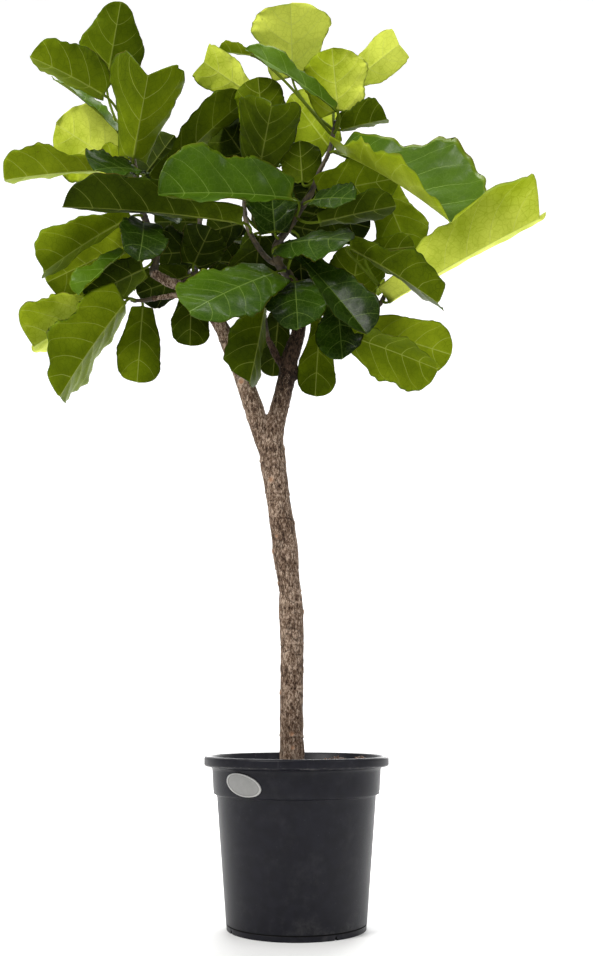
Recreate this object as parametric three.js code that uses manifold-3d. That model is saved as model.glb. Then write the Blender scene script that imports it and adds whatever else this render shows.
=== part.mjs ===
// A fiddle leaf fig tree in a dark plastic nursery pot, about 1.82 m tall.
// Millimetres, +Z up, the pot standing on z = 0 with its axis on the origin.

import * as THREE from 'three';
import { mergeVertices } from 'three/addons/utils/BufferGeometryUtils.js';
import Module from 'manifold-3d';

const wasm = await Module();
wasm.setup();

// Driving dimensions
const gap = 0.3; // between pieces that touch
const bladeThickness = 1.0;
const woodTidy = 0.1; // how far closing up slivers may move a face
const leafTidy = 0.2;
const stalkRadius = [3, 2.4]; // leaf stalk at the stem and at the blade
const broadLeaf = 118; // leaves at least this wide get the finer split
const potSides = 32;
const potWall = 3.4;
const rimRadius = 170;
const rimTop = 308;
const rimDrop = 18;
const collarTop = [155.4, 288]; // radius and height
const collarFoot = [152.6, 239.4];
const bodyTop = [146.8, 238.2];
const bodyFoot = [127.6, 11.5];
const footRadius = 126.5;
const footDepth = 6; // the hollow under the floor
const floorTop = 10;
const padRadius = 42;
const drainRadius = 8;
const notchAngles = [-64.7, 32.5, 115.3, 212.5]; // degrees from the front, around the foot
const badge = { width: 78, height: 38, angle: -37.3, z: 262, tilt: -12, thickness: 1.8, border: 0.9 };
const soilTop = 289;

// Where a leaf is seen: x and z are read on the upright plane through the trunk, as it looks from the eye,
// and the leaf is then moved along that line of sight to its depth (negative is nearer the eye).
const eye = new THREE.Vector3(0, -2000, 388);
const sky = new THREE.Vector3(0, 0, 1);

// The tree's woody parts. Each row of a path is x, z, depth, radius.
const woody = {
  main: {
    sides: 10,
    path: [
      [-8, 222, 0, 22], [-8, 300, 0, 22], [-9, 370, 0, 21.8], [-9, 435, 0, 21.2], [-8, 506, 0, 21.6],
      [-10, 572, 0, 22.8], [-13, 616, 0, 21], [-17, 650, 0, 21.6], [-21, 688, 0, 24.2],
      [-27, 740, 0, 23.2], [-33, 780, 0, 22.6], [-40, 824, 0, 23.6], [-46, 875, 0, 25], [-47, 912, 0, 21.8],
      [-34, 965, 0, 18.2], [-20, 1027, 0, 17.5], [-13, 1069, 0, 16.5], [4, 1126, 0, 14],
      [4, 1180, 4, 12.5], [-10, 1231, 4, 11.5],
    ],
  },
  leftLimb: {
    sides: 9,
    path: [
      [-50, 868, 0, 17], [-67, 920, 0, 19.2], [-83, 970, 0, 18.6], [-102, 1027, 0, 17.4],
      [-127, 1087, 0, 16], [-150, 1140, 0, 15], [-180, 1180, 4, 14.5], [-204, 1210, 4, 15],
    ],
  },
  leftArm: {
    sides: 8,
    path: [[-204, 1206, 4, 11], [-228, 1218, 3, 10], [-250, 1226, 2, 9.5], [-284, 1246, 0, 9.5]],
  },
  sideTwig: {
    sides: 6,
    path: [[-206, 1204, 4, 6], [-250, 1197, 3, 5.2], [-286, 1192, 2, 5.2]],
  },
  forkTwig: {
    sides: 6,
    path: [[-30, 1056, 0, 7], [-44, 1084, 0, 6.4], [-58, 1114, 0, 6]],
  },
  rightTwig: {
    sides: 8,
    path: [[-14, 1032, 0, 11], [20, 1048, 8, 10], [42, 1066, 20, 8.6], [62, 1086, 29, 8]],
  },
};
const knob = { at: [-206, 1212, 4], radius: 24 };

// The leafy stems. Each path row is x, z, depth. Each leaf row is the blade's base and its tip as
// x, z, depth, then its width, the turn of its upper face from the eye (or from the sky), the bend of
// its midrib, the rise of its two halves, and how oval it is.
const shoots = {
  left: {
    radius: [8.5, 4.5],
    path: [
      [-282, 1244, 0], [-279, 1290, 12], [-292, 1335, 18], [-305, 1370, 16],
      [-316, 1425, 10], [-326, 1478, 4], [-334, 1512, 0],
    ],
    bud: 13,
    leaves: [
      [-302, 1254, -6, -416, 1192, -30, 109, 156, 10, 14, 0.5],
      [-322, 1312, 34, -492, 1226, 30, 150, 176, 8, 6, 0.8],
      [-338, 1290, -45, -430, 1200, -95, 84, 64, 12, 20, 0.3],
      [-330, 1362, -5, -497, 1249, -62, 122, 140, 14, 28, -0.3],
      [-304, 1350, -30, -312, 1270, -135, 98, -8, 30, 12, 0.7],
      [-290, 1378, 25, -232, 1362, 60, 70, -40, 10, 20, 0.5],
      [-318, 1462, -22, -403, 1462, -120, 118, 66, 18, 10, 0.5],
      [-388, 1462, -25, -584, 1441, -70, 124, 128, 10, 25, 0.1],
      [-362, 1478, 90, -484, 1560, 84, 168, 178, 10, 8, 1],
      [-279, 1431, 22, -96, 1619, -15, 118, 234, 14, 15, 0.3],
      [-306, 1448, 55, -246, 1536, 95, 95, 175, 5, 10, 0.7],
      [-338, 1471, 18, -392, 1502, 26, 55, 150, 5, 10, 0.6],
      [-356, 1541, 8, -493, 1658, 38, 84, 76, 14, 12, 0.4],
      [-390, 1624, -46, -542, 1707, -112, 113, 140, 15, 26, 1.3],
      [-327, 1488, -18, -301, 1667, -140, 190, 180, 18, 34, -0.6],
      [-384, 1655, 64, -360, 1829, -16, 106, 180, 20, 12, 1.8],
    ],
  },
  left_low: {
    radius: [4.5, 3.2],
    path: [
      [-284, 1192, 2], [-300, 1189, 4], [-318, 1188, 2],
    ],
    bud: 10,
    leaves: [
      [-302, 1176, 10, -310, 1022, -10, 96, 180, -10, 14, 0.5],
      [-338, 1184, -30, -460, 994, -95, 174, 128, 10, 16, 0.8],
      [-358, 1188, -27, -514, 1095, -52, 154, 133, 5, 24, -0.3],
    ],
  },
  knob: {
    radius: [7, 4],
    path: [
      [-205, 1226, 14], [-201, 1244, 34], [-196, 1290, 60], [-192, 1350, 70],
      [-196, 1395, 86],
    ],
    bud: 10,
    leaves: [
      [-207, 1212, 45, -208, 1096, 40, 84, 180, -6, 10, 0.5],
      [-190, 1212, 78, -116, 1238, 78, 75, 190, 6, 12, 0.6],
      [-214, 1240, 44, -314, 1203, 66, 88, 176, 6, 10, 0.6],
      [-203, 1264, 20, -170, 1340, 6, 100, 180, 6, 10, 0.6],
      [-200, 1290, 95, -276, 1284, 110, 109, 170, 6, 10, 0.6],
      [-196, 1352, 110, -282, 1352, 140, 90, 150, 6, 10, 0.6],
    ],
  },
  twig: {
    radius: [5, 3.5],
    path: [
      [-57, 1111, 0], [-62, 1150, 14], [-66, 1185, 22],
    ],
    bud: 10,
    leaves: [
      [-62, 1192, -42, -92, 1022, -85, 126, 137, -8, 26, 0.4],
      [-34, 1162, 60, -46, 1034, 52, 78, 180, -5, 8, 0.5],
      [-78, 1262, 95, -178, 1272, 115, 90, 165, 5, 10, 0.6],
    ],
  },
  centre_left: {
    radius: [6, 3.5],
    path: [
      [-38, 1264, 1], [-54, 1272, 3], [-74, 1296, 4], [-95, 1336, 6], [-104, 1385, 20],
      [-98, 1440, 26], [-88, 1500, 24], [-80, 1545, 24],
    ],
    bud: 10,
    on: 'centre',
    leaves: [
      [-110, 1350, -40, -466, 1384, -130, 138, 127, 10, 27, 0.3],
      [-108, 1350, 40, -178, 1330, 60, 80, 180, 5, 10, 0.6],
      [-75, 1460, -35, -50, 1600, -175, 152, 180, 16, 28, 0.7],
      [-66, 1540, -20, -78, 1662, -55, 104, 180, 8, 8, 0.8],
      [-72, 1322, 20, -84, 1222, 34, 112, 180, 8, 10, 0.6],
      [-60, 1340, 66, -24, 1440, 110, 109, 180, 8, 10, 0.6],
      [-96, 1478, 36, -172, 1592, 64, 104, 172, 8, 10, 0.6],
      [-86, 1620, 10, -188, 1695, -8, 86, 175, 8, 8, -0.8],
    ],
  },
  centre: {
    radius: [9.6, 6],
    path: [
      [-7, 1224, 4], [-16, 1241, 3], [-34, 1262, 0], [-41, 1298, -2], [-22, 1330, -2],
      [-2, 1362, 0], [14, 1389, 2], [31, 1414, 2],
    ],
    leaves: [
      [-42, 1246, -62, -210, 1166, -200, 158, 44, 12, 0, 0.5],
      [-3, 1226, -46, 3, 1130, -122, 118, 0, 26, 8, 0.9],
      [5, 1282, -50, 138, 1120, -150, 112, -30, 12, 30, -0.2],
      [-34, 1302, -60, 106, 1314, -150, 118, -64, 20, -8, 0.6],
      [-43, 1330, -20, -52, 1438, -22, 104, 0, -15, 8, 0.8],
      [-10, 1345, 10, 66, 1325, 30, 60, 180, 5, 8, 0.6],
      [6, 1376, 66, 146, 1340, 84, 98, 190, 5, 8, 0.6],
      [45, 1352, -30, 198, 1386, -60, 82, 215, 5, 20, 0.4],
      [34, 1398, -40, 116, 1400, -110, 72, -50, 18, 8, 0.6],
      [6, 1312, 22, 10, 1222, 30, 90, 180, 8, 10, 0.6],
      [-10, 1402, -58, -276, 1410, -135, 175, 47, 14, 28, 0.5],
    ],
  },
  top: {
    radius: [5.2, 3.5],
    path: [
      [29, 1411, 2], [36, 1430, 1], [43, 1451, 0], [54, 1475, -2], [63, 1494, -2],
      [72, 1530, -2], [78, 1562, 0],
    ],
    bud: 10,
    on: 'centre',
    leaves: [
      [38, 1444, 32, 10, 1394, 22, 64, 180, 6, 6, 0.7],
      [44, 1412, 8, 206, 1446, 10, 128, 205, 5, 12, 0.6],
      [12, 1436, 24, 6, 1524, 18, 94, 180, 5, 10, 0.8],
      [66, 1510, 50, -12, 1622, 88, 117, 180, 8, 8, 0.8],
      [86, 1501, -18, 307, 1351, -205, 238, -63, 12, 36, -0.5],
      [169, 1432, 64, 224, 1286, 62, 117, 180, 6, 10, 0.4],
      [91, 1548, 10, 183, 1571, -28, 98, 230, 8, 25, 0.6],
      [98, 1640, 48, 209, 1734, 32, 86, 180, 8, 10, -0.7],
      [84, 1588, -18, 72, 1726, -62, 134, 182, 8, 6, 0.9],
      [-8, 1662, 70, -12, 1826, -50, 164, 180, 8, 8, 0.55],
      [78, 1592, -40, -104, 1723, -110, 88, 66, 12, 15, 0.3],
      [-92, 1710, 20, -160, 1720, 0, 46, 130, 6, 28, 0.5],
    ],
  },
  right: {
    radius: [7, 4],
    path: [
      [60, 1084, 28], [100, 1122, 26], [138, 1157, 18], [166, 1184, 6], [176, 1206, 2],
    ],
    bud: 10,
    leaves: [
      [46, 1154, -6, 36, 994, -20, 80, 180, -8, 10, 0.1],
      [82, 1190, -34, 90, 1070, -70, 98, 15, 10, 10, 0.5],
      [118, 1112, -62, 276, 1049, -112, 133, 222, 6, -18, 0.8],
      [140, 1130, -14, 302, 1078, -44, 104, 185, 6, 6, 0.6],
      [108, 1190, 44, 124, 1302, 24, 118, 180, 8, 8, 0.9],
      [106, 1298, -60, 278, 1184, -150, 120, 236, 10, 20, -0.4],
      [150, 1292, -8, 234, 1300, -30, 58, 190, 5, 8, 0.7],
      [182, 1186, -10, 483, 1360, -90, 185, 220, 8, 40, -0.9],
    ],
  },
  back_left: {
    radius: [8, 4],
    path: [
      [-150, 1138, 8], [-166, 1160, 58], [-190, 1200, 115], [-220, 1262, 170],
      [-242, 1325, 222], [-250, 1380, 260],
    ],
    upTo: 'sky',
    bud: 10,
    leaves: [
      [-224, 1226, 150, -318, 1212, 205, 130, -15, 20, 15, 0.4],
      [-160, 1240, 150, -110, 1215, 240, 125, 10, 20, 15, 0.4],
      [-225, 1270, 200, -225, 1250, 330, 150, 0, 25, 15, 0.4],
      [-205, 1320, 250, -130, 1320, 330, 135, 15, 20, 15, 0.5],
      [-250, 1370, 280, -300, 1380, 400, 160, -5, 30, 18, 0.4],
      [-255, 1385, 240, -350, 1440, 230, 140, -25, 20, 18, 0.5],
      [-240, 1400, 300, -185, 1440, 375, 140, 20, 20, 18, 0.5],
    ],
  },
  back_right: {
    radius: [8, 4],
    path: [
      [5, 1145, 4], [18, 1162, 45], [42, 1195, 95], [80, 1240, 160], [110, 1300, 220],
      [120, 1360, 260],
    ],
    upTo: 'sky',
    bud: 10,
    leaves: [
      [20, 1205, 120, -40, 1190, 200, 125, -15, 20, 15, 0.4],
      [85, 1215, 130, 160, 1200, 170, 125, 15, 20, 15, 0.4],
      [80, 1240, 200, 85, 1225, 330, 150, 0, 25, 15, 0.4],
      [135, 1275, 180, 220, 1290, 230, 135, 20, 20, 15, 0.5],
      [95, 1310, 250, 30, 1330, 320, 135, -15, 20, 15, 0.5],
      [120, 1350, 280, 150, 1370, 400, 155, 5, 30, 18, 0.4],
      [135, 1365, 240, 185, 1405, 240, 120, 25, 20, 18, 0.5],
      [110, 1385, 300, 60, 1440, 365, 140, -20, 20, 18, 0.5],
    ],
  },
  back_centre: {
    radius: [7, 4],
    path: [
      [3, 1166, 4], [1, 1190, 44], [-18, 1245, 84], [-50, 1350, 120], [-58, 1420, 150],
      [-55, 1490, 165],
    ],
    upTo: 'sky',
    bud: 10,
    leaves: [
      [-60, 1310, 120, -120, 1290, 190, 120, -15, 20, 15, 0.4],
      [-25, 1350, 140, 20, 1330, 220, 120, 15, 20, 15, 0.4],
      [-55, 1400, 170, -70, 1385, 300, 145, 0, 25, 15, 0.4],
      [-80, 1450, 150, -180, 1450, 190, 120, -20, 20, 15, 0.5],
      [-35, 1470, 170, 20, 1470, 260, 125, 15, 20, 15, 0.5],
      [-60, 1500, 180, -90, 1540, 290, 140, -5, 25, 15, 0.5],
    ],
  },
};

// Leaf outline: share of the half width at stations from base to tip,
// for a waisted fiddle-shaped leaf, for an oval one and for one with a blunt end.
const stations = [0, 0.035, 0.1, 0.2, 0.32, 0.45, 0.58, 0.7, 0.8, 0.88, 0.945, 0.985, 1];
const waisted = [0.04, 0.34, 0.43, 0.46, 0.53, 0.7, 0.88, 0.99, 0.97, 0.84, 0.61, 0.32, 0.04];
const oval = [0.04, 0.44, 0.66, 0.84, 0.94, 0.99, 1, 0.95, 0.84, 0.7, 0.49, 0.25, 0.04];
const blunt = [0.04, 0.36, 0.46, 0.52, 0.66, 0.82, 0.92, 0.98, 1, 0.95, 0.86, 0.7, 0.04];
const broadRows = [0, 0.05, 0.2, 0.38, 0.54, 0.7, 0.84, 0.94, 1];
const smallRows = [0, 0.06, 0.3, 0.55, 0.78, 0.93, 1];
const bluntRows = [0, 0.05, 0.2, 0.38, 0.54, 0.7, 0.86, 0.97, 1];
const rearRows = [0, 0.07, 0.34, 0.64, 0.88, 1];

const radians = (degrees) => (degrees * Math.PI) / 180;
const clamp = (value, low, high) => Math.min(high, Math.max(low, value));

function seen([x, z, depth]) {
  const onPlane = new THREE.Vector3(x, 0, z);
  return onPlane.sub(eye).multiplyScalar(1 + depth / -eye.y).add(eye);
}

// Smooth curve through a table of values (cubic between stations).
function lookUp(u, values) {
  let i = 0;
  while (i < stations.length - 2 && u > stations[i + 1]) i += 1;
  const slope = (j) => (values[j + 1] - values[j]) / (stations[j + 1] - stations[j]);
  const tangent = (j) => {
    if (j === 0) return slope(0);
    if (j === stations.length - 1) return slope(j - 1);
    return (slope(j - 1) + slope(j)) / 2;
  };
  const span = stations[i + 1] - stations[i];
  const t = (u - stations[i]) / span;
  const cube = t * t * t;
  const square = t * t;
  return (2 * cube - 3 * square + 1) * values[i] + (cube - 2 * square + t) * span * tangent(i)
    + (3 * square - 2 * cube) * values[i + 1] + (cube - square) * span * tangent(i + 1);
}

// The leaf's own axes: along its chord, out of its upper face, and across.
function leafFrame(row, upTo) {
  const [x0, z0, d0, x1, z1, d1, width, turn, bend, fold, roundness] = row;
  const base = seen([x0, z0, d0]);
  const tip = seen([x1, z1, d1]);
  const along = tip.clone().sub(base);
  const length = along.length();
  along.normalize();
  const toward = upTo === 'sky' ? sky.clone() : eye.clone().sub(base.clone().add(tip).multiplyScalar(0.5));
  toward.normalize();
  toward.addScaledVector(along, -toward.dot(along)).normalize();
  const up = toward.applyAxisAngle(along, radians(turn));
  const across = up.clone().cross(along);
  return {
    base, along, up, across, length, width, roundness,
    rear: upTo === 'sky',
    bend: Math.abs(bend) < 0.1 ? 0.002 : radians(bend),
    fold: radians(fold),
  };
}

// Share of the half width at u. A roundness of 0 is waisted and 1 is oval; towards -1 the end gets blunt.
function outlineShare(u, roundness) {
  if (roundness < 0) return (1 + roundness) * lookUp(u, waisted) - roundness * lookUp(u, blunt);
  return (1 - roundness) * lookUp(u, waisted) + roundness * lookUp(u, oval);
}

// A point of the blade's middle surface: u from base to tip, v from edge to edge. The base reaches back
// beside the stalk, and the corners of a blunt leaf reach past its tip.
function leafPoint(leaf, u, v, phase) {
  const angle = leaf.bend * (u - 0.5);
  const arc = leaf.length / (2 * Math.sin(leaf.bend / 2));
  const forward = arc * (Math.sin(angle) + Math.sin(leaf.bend / 2));
  const rise = arc * (Math.cos(angle) - Math.cos(leaf.bend / 2));
  const normal = leaf.up.clone().multiplyScalar(Math.cos(angle)).addScaledVector(leaf.along, Math.sin(angle));
  const tangent = leaf.along.clone().multiplyScalar(Math.cos(angle)).addScaledVector(leaf.up, -Math.sin(angle));
  const side = Math.sign(v);
  const uneven = 1 + 0.06 * Math.sin(2 * Math.PI * (1.8 * u + 1.7 * phase) + 2.4 * side);
  const reach = Math.abs(v) * (leaf.width / 2) * outlineShare(u, leaf.roundness) * uneven;
  const lift = leaf.fold * (0.75 + 0.5 * Math.abs(v));
  const wave = leaf.width * 0.035 * v * v * Math.min(1, u * 4)
    * Math.sin(2 * Math.PI * (2.6 * u + phase) + side * 1.1);
  const corner = 0.5 * Math.max(0, -leaf.roundness) * reach * clamp((u - 0.6) / 0.4, 0, 1) ** 2;
  const lobe = -0.15 * leaf.width * Math.abs(v) ** 1.5 * Math.min(1, u / 0.05) * clamp(1 - u / 0.35, 0, 1) ** 2;
  return leaf.base.clone()
    .addScaledVector(leaf.along, forward)
    .addScaledVector(leaf.up, rise)
    .addScaledVector(leaf.across, side * reach * Math.cos(lift))
    .addScaledVector(normal, reach * Math.sin(lift) + wave)
    .addScaledVector(tangent, corner + lobe);
}

function solid(points, faces) {
  return new wasm.Manifold(new wasm.Mesh({
    numProp: 3,
    vertProperties: new Float32Array(points.flatMap((p) => [p.x, p.y, p.z])),
    triVerts: new Uint32Array(faces.flat()),
  }));
}

// The upper and lower face of one row of the blade, as a closed ring of points.
function bladeRing(grid, i) {
  const columns = grid[i].length;
  const before = grid[Math.max(i - 1, 0)];
  const after = grid[Math.min(i + 1, grid.length - 1)];
  const normals = grid[i].map((point, j) => {
    const down = after[j].clone().sub(before[j]);
    const over = grid[i][Math.min(j + 1, columns - 1)].clone().sub(grid[i][Math.max(j - 1, 0)]);
    return down.cross(over).normalize().multiplyScalar(bladeThickness / 2);
  });
  const top = grid[i].map((point, j) => point.clone().add(normals[j]));
  const bottom = grid[i].map((point, j) => point.clone().sub(normals[j]));
  return top.concat(bottom.reverse());
}

// A ring of the leaf stalk with as many points as a ring of the blade.
function stalkRing(centre, tangent, across, radius, columns) {
  const side = across.clone().addScaledVector(tangent, -across.dot(tangent)).normalize();
  const up = tangent.clone().cross(side);
  const at = (a) => centre.clone()
    .addScaledVector(side, radius * Math.cos(a))
    .addScaledVector(up, radius * Math.sin(a));
  const angles = [];
  for (let j = 0; j < columns; j += 1) angles.push(Math.PI * (1 - (j + 0.5) / columns));
  return [...angles.map(at), ...angles.reverse().map((a) => at(-a))];
}

// Joins rings with equal numbers of points into one closed body. The upper and the lower half of a ring are
// split along the same diagonals, so that a bent blade keeps its thickness.
function loft(rings, capFaces) {
  const count = rings[0].length;
  const last = (rings.length - 1) * count;
  const faces = [];
  for (let k = 0; k < count; k += 1) {
    const n = (k + 1) % count;
    for (let i = 0; i < last; i += count) {
      if (k < count / 2) {
        faces.push([i + k, i + count + n, i + n], [i + k, i + count + k, i + count + n]);
      } else {
        faces.push([i + k, i + count + k, i + n], [i + n, i + count + k, i + count + n]);
      }
    }
  }
  capFaces.forEach(([a, b, c]) => {
    faces.push([a, b, c], [last + a, last + c, last + b]);
  });
  return solid(rings.flat(), faces);
}

// A leaf in one piece: its stalk from the root inside the stem, then the blade.
function leafBody(leaf, phase, root) {
  const broad = leaf.width >= broadLeaf && !leaf.rear;
  const broadSplit = leaf.roundness < 0 ? bluntRows : broadRows;
  const frontRows = broad ? broadSplit : smallRows;
  const rows = leaf.rear ? rearRows : frontRows;
  const columns = broad ? [-1, -0.55, 0, 0.55, 1] : [-1, 0, 1];
  const grid = rows.map((u) => columns.map((v) => leafPoint(leaf, u, v, phase)));
  const stalk = stalkCurve(leaf, root);
  const rings = [0, 0.5].map((t) => stalkRing(
    stalk.getPoint(t),
    stalk.getTangent(t),
    leaf.across,
    stalkRadius[0] + (stalkRadius[1] - stalkRadius[0]) * t,
    columns.length,
  ));
  rows.forEach((u, i) => rings.push(bladeRing(grid, i)));
  const capFaces = [];
  const count = 2 * columns.length;
  for (let j = 0; j < columns.length - 1; j += 1) {
    const across = count - 1 - j;
    capFaces.push([j, j + 1, across - 1], [j, across - 1, across]);
  }
  return loft(rings, capFaces);
}

// A tapering round rod along a path, with flat ends.
function rod(points, radii, sides) {
  const rings = [];
  let across = new THREE.Vector3(0, 1, 0);
  points.forEach((point, i) => {
    const next = points[Math.min(i + 1, points.length - 1)];
    const tangent = next.clone().sub(points[Math.max(i - 1, 0)]).normalize();
    across.addScaledVector(tangent, -across.dot(tangent));
    across = (across.lengthSq() < 1e-6 ? new THREE.Vector3(1, 0, 0) : across).normalize();
    const other = tangent.clone().cross(across);
    for (let k = 0; k < sides; k += 1) {
      const a = (2 * Math.PI * k) / sides;
      rings.push(point.clone()
        .addScaledVector(across, radii[i] * Math.cos(a))
        .addScaledVector(other, radii[i] * Math.sin(a)));
    }
  });
  const faces = [];
  const last = (points.length - 1) * sides;
  for (let k = 0; k < sides; k += 1) {
    const n = (k + 1) % sides;
    for (let i = 0; i < last; i += sides) {
      faces.push([i + k, i + n, i + sides + n], [i + k, i + sides + n, i + sides + k]);
    }
    if (k > 0 && k < sides - 1) {
      faces.push([0, n, k], [last, last + k, last + n]);
    }
  }
  return solid(rings, faces);
}

// Points and radii of a woody path, grown all round and at both ends by extra.
function woodyRod({ path, sides }, extra) {
  const points = path.map((row) => seen(row));
  const first = points[0].clone().sub(points[1]).setLength(extra);
  const end = points.at(-1).clone().sub(points.at(-2)).setLength(extra);
  points[0].add(first);
  points.at(-1).add(end);
  return rod(points, path.map((row) => row[3] + extra), sides);
}

// Closes up the slivers that joining leaves.
function tidy(manifold, most) {
  return manifold.asOriginal().simplify(most);
}

function ball(centre, radius, detail) {
  const shape = new THREE.IcosahedronGeometry(radius, detail);
  shape.translate(centre.x, centre.y, centre.z);
  return fromGeometry(shape);
}

function fromGeometry(geometry) {
  const bare = geometry.clone();
  bare.deleteAttribute('normal');
  bare.deleteAttribute('uv');
  const merged = mergeVertices(bare, 1e-4);
  return new wasm.Manifold(new wasm.Mesh({
    numProp: 3,
    vertProperties: new Float32Array(merged.attributes.position.array),
    triVerts: new Uint32Array(merged.index.array),
  }));
}

function toGeometry(manifold) {
  const mesh = manifold.getMesh();
  const points = [];
  for (let i = 0; i < mesh.vertProperties.length; i += mesh.numProp) {
    points.push(...mesh.vertProperties.subarray(i, i + 3));
  }
  const geometry = new THREE.BufferGeometry();
  geometry.setAttribute('position', new THREE.Float32BufferAttribute(points, 3));
  geometry.setIndex([...mesh.triVerts]);
  geometry.computeVertexNormals();
  return geometry;
}

function tree(extra) {
  let body = ball(seen(knob.at), knob.radius + extra, 1);
  Object.values(woody).forEach((part) => {
    body = body.add(woodyRod(part, extra));
  });
  return tidy(body, woodTidy);
}

// The path of a leafy stem as a smooth run of points.
function stemPoints({ path }, count) {
  return new THREE.CatmullRomCurve3(path.map(seen)).getPoints(count);
}

// The leaf stalk's curve: from its root to the blade, arriving along the midrib.
function stalkCurve(leaf, root) {
  const start = leaf.along.clone().multiplyScalar(Math.cos(leaf.bend / 2))
    .addScaledVector(leaf.up, Math.sin(leaf.bend / 2));
  const reach = Math.min(40, root.distanceTo(leaf.base) / 2);
  const middle = leaf.base.clone().addScaledVector(start, -reach);
  return new THREE.QuadraticBezierCurve3(root, middle, leaf.base);
}

// The bare stem of a shoot, ending in a bud unless another stem grows on, grown all round by extra.
function bareStem(shoot, extra) {
  const points = stemPoints(shoot, Math.round(shoot.path.length * 1.6));
  const [foot, tip] = shoot.radius;
  const radii = points.map((p, i) => foot + ((tip - foot) * i) / (points.length - 1) + extra);
  if (shoot.bud) {
    const onward = points.at(-1).clone().sub(points.at(-2)).setLength(shoot.bud);
    points.push(points.at(-1).clone().add(onward));
    radii.push(extra + 1);
  }
  return rod(points, radii, 6);
}

// Gives each leaf the nearest place on the stem that no leaf before it has taken.
function leafRoots(shoot, leaves) {
  const free = stemPoints(shoot, 60).slice(8, 60);
  return leaves.map((leaf) => {
    const distances = free.map((point) => point.distanceTo(leaf.base));
    const nearest = distances.indexOf(Math.min(...distances));
    return free.splice(nearest, 2)[0];
  });
}

// A stem with its leaves, cut back by the gap from the wood or the stem it grows on.
function leafyStem(shoot, sleeve) {
  const leaves = shoot.leaves.map((row) => leafFrame(row, shoot.upTo));
  const roots = leafRoots(shoot, leaves);
  let body = bareStem(shoot, 0);
  leaves.forEach((leaf, i) => {
    body = body.add(leafBody(leaf, (i * 0.37) % 1, roots[i]));
  });
  if (shoot.on) body = body.subtract(bareStem(shoots[shoot.on], gap));
  return tidy(body.subtract(sleeve), leafTidy);
}

function turned(profile, sides) {
  const geometry = new THREE.LatheGeometry(profile.map(([r, z]) => new THREE.Vector2(r, z)), sides);
  geometry.rotateX(Math.PI / 2);
  return fromGeometry(geometry);
}

// Inside face of the pot from the floor up, as radius and height.
const inside = [
  [0, floorTop],
  [bodyFoot[0] - potWall, floorTop],
  [bodyTop[0] - potWall, bodyTop[1] - 2],
  [collarFoot[0] - potWall, collarFoot[1] + 2],
  [collarTop[0] - potWall, collarTop[1]],
  [rimRadius - 8.5, rimTop - 3],
];

function makePot() {
  const profile = [
    [0, 0],
    [padRadius, 0],
    [padRadius + 2, footDepth],
    [footRadius - 10, footDepth],
    [footRadius - 9, 0],
    [footRadius, 0],
    [footRadius + 0.6, 10.4],
    bodyFoot,
    bodyTop,
    collarFoot,
    collarTop,
    [rimRadius - 2, rimTop - rimDrop],
    [rimRadius, rimTop - rimDrop + 2],
    [rimRadius, rimTop - 3.5],
    [rimRadius - 3.5, rimTop],
    [rimRadius - 7, rimTop - 0.8],
    ...inside.slice().reverse(),
  ];
  let pot = turned(profile, potSides);
  notchAngles.forEach((degrees) => {
    pot = pot.subtract(fromGeometry(notchWedge(degrees)));
  });
  for (let k = 0; k < 5; k += 1) {
    const hole = new THREE.CylinderGeometry(drainRadius, drainRadius, 12, 8);
    hole.rotateX(Math.PI / 2);
    const a = (2 * Math.PI * k) / 5;
    hole.translate(82 * Math.cos(a), 82 * Math.sin(a), floorTop - 2);
    pot = pot.subtract(fromGeometry(hole));
  }
  return pot;
}

// A small three-cornered cut through the foot ring.
function notchWedge(degrees) {
  const shape = new THREE.Shape([
    new THREE.Vector2(-3.4, -1),
    new THREE.Vector2(3.4, -1),
    new THREE.Vector2(1, 9),
    new THREE.Vector2(-0.6, 9),
  ]);
  const wedge = new THREE.ExtrudeGeometry(shape, { depth: 14, bevelEnabled: false });
  wedge.rotateX(Math.PI / 2);
  wedge.translate(0, -(footRadius - 11), 0);
  wedge.rotateZ(radians(degrees));
  return wedge;
}

// The bare oval badge, bent to the collar, with a raised border.
function makeBadge() {
  const sides = 28;
  const rings = [[1, -3], [1, badge.thickness + badge.border], [0.9, badge.thickness + badge.border],
    [0.86, badge.thickness], [0, badge.thickness]];
  const tilt = radians(badge.tilt);
  const place = (share, k, height) => {
    const a = (2 * Math.PI * k) / sides;
    const x = share * (badge.width / 2) * Math.cos(a);
    const y = share * (badge.height / 2) * Math.sin(a);
    const out = x * Math.cos(tilt) - y * Math.sin(tilt);
    const up = badge.z + x * Math.sin(tilt) + y * Math.cos(tilt);
    const slope = (collarTop[0] - collarFoot[0]) / (collarTop[1] - collarFoot[1]);
    const wall = collarFoot[0] + slope * (up - collarFoot[1]);
    const angle = radians(badge.angle) + out / wall;
    const r = wall + gap + height;
    return new THREE.Vector3(r * Math.sin(angle), -r * Math.cos(angle), up);
  };
  const points = [place(0, 0, -3)];
  rings.slice(0, -1).forEach(([share, height]) => {
    for (let k = 0; k < sides; k += 1) points.push(place(share, k, height));
  });
  points.push(place(0, 0, badge.thickness));
  const faces = [];
  const last = points.length - 1;
  const top = 1 + (rings.length - 2) * sides;
  for (let k = 0; k < sides; k += 1) {
    const n = (k + 1) % sides;
    faces.push([0, 1 + n, 1 + k], [last, top + k, top + n]);
    for (let i = 1; i < top; i += sides) {
      faces.push([i + k, i + n, i + sides + n], [i + k, i + sides + n, i + sides + k]);
    }
  }
  const seat = [[0, collarFoot[1]], [collarFoot[0] + gap, collarFoot[1]], [collarTop[0] + gap, collarTop[1]],
    [0, collarTop[1]]];
  return solid(points, faces).subtract(turned(seat, potSides));
}

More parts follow.
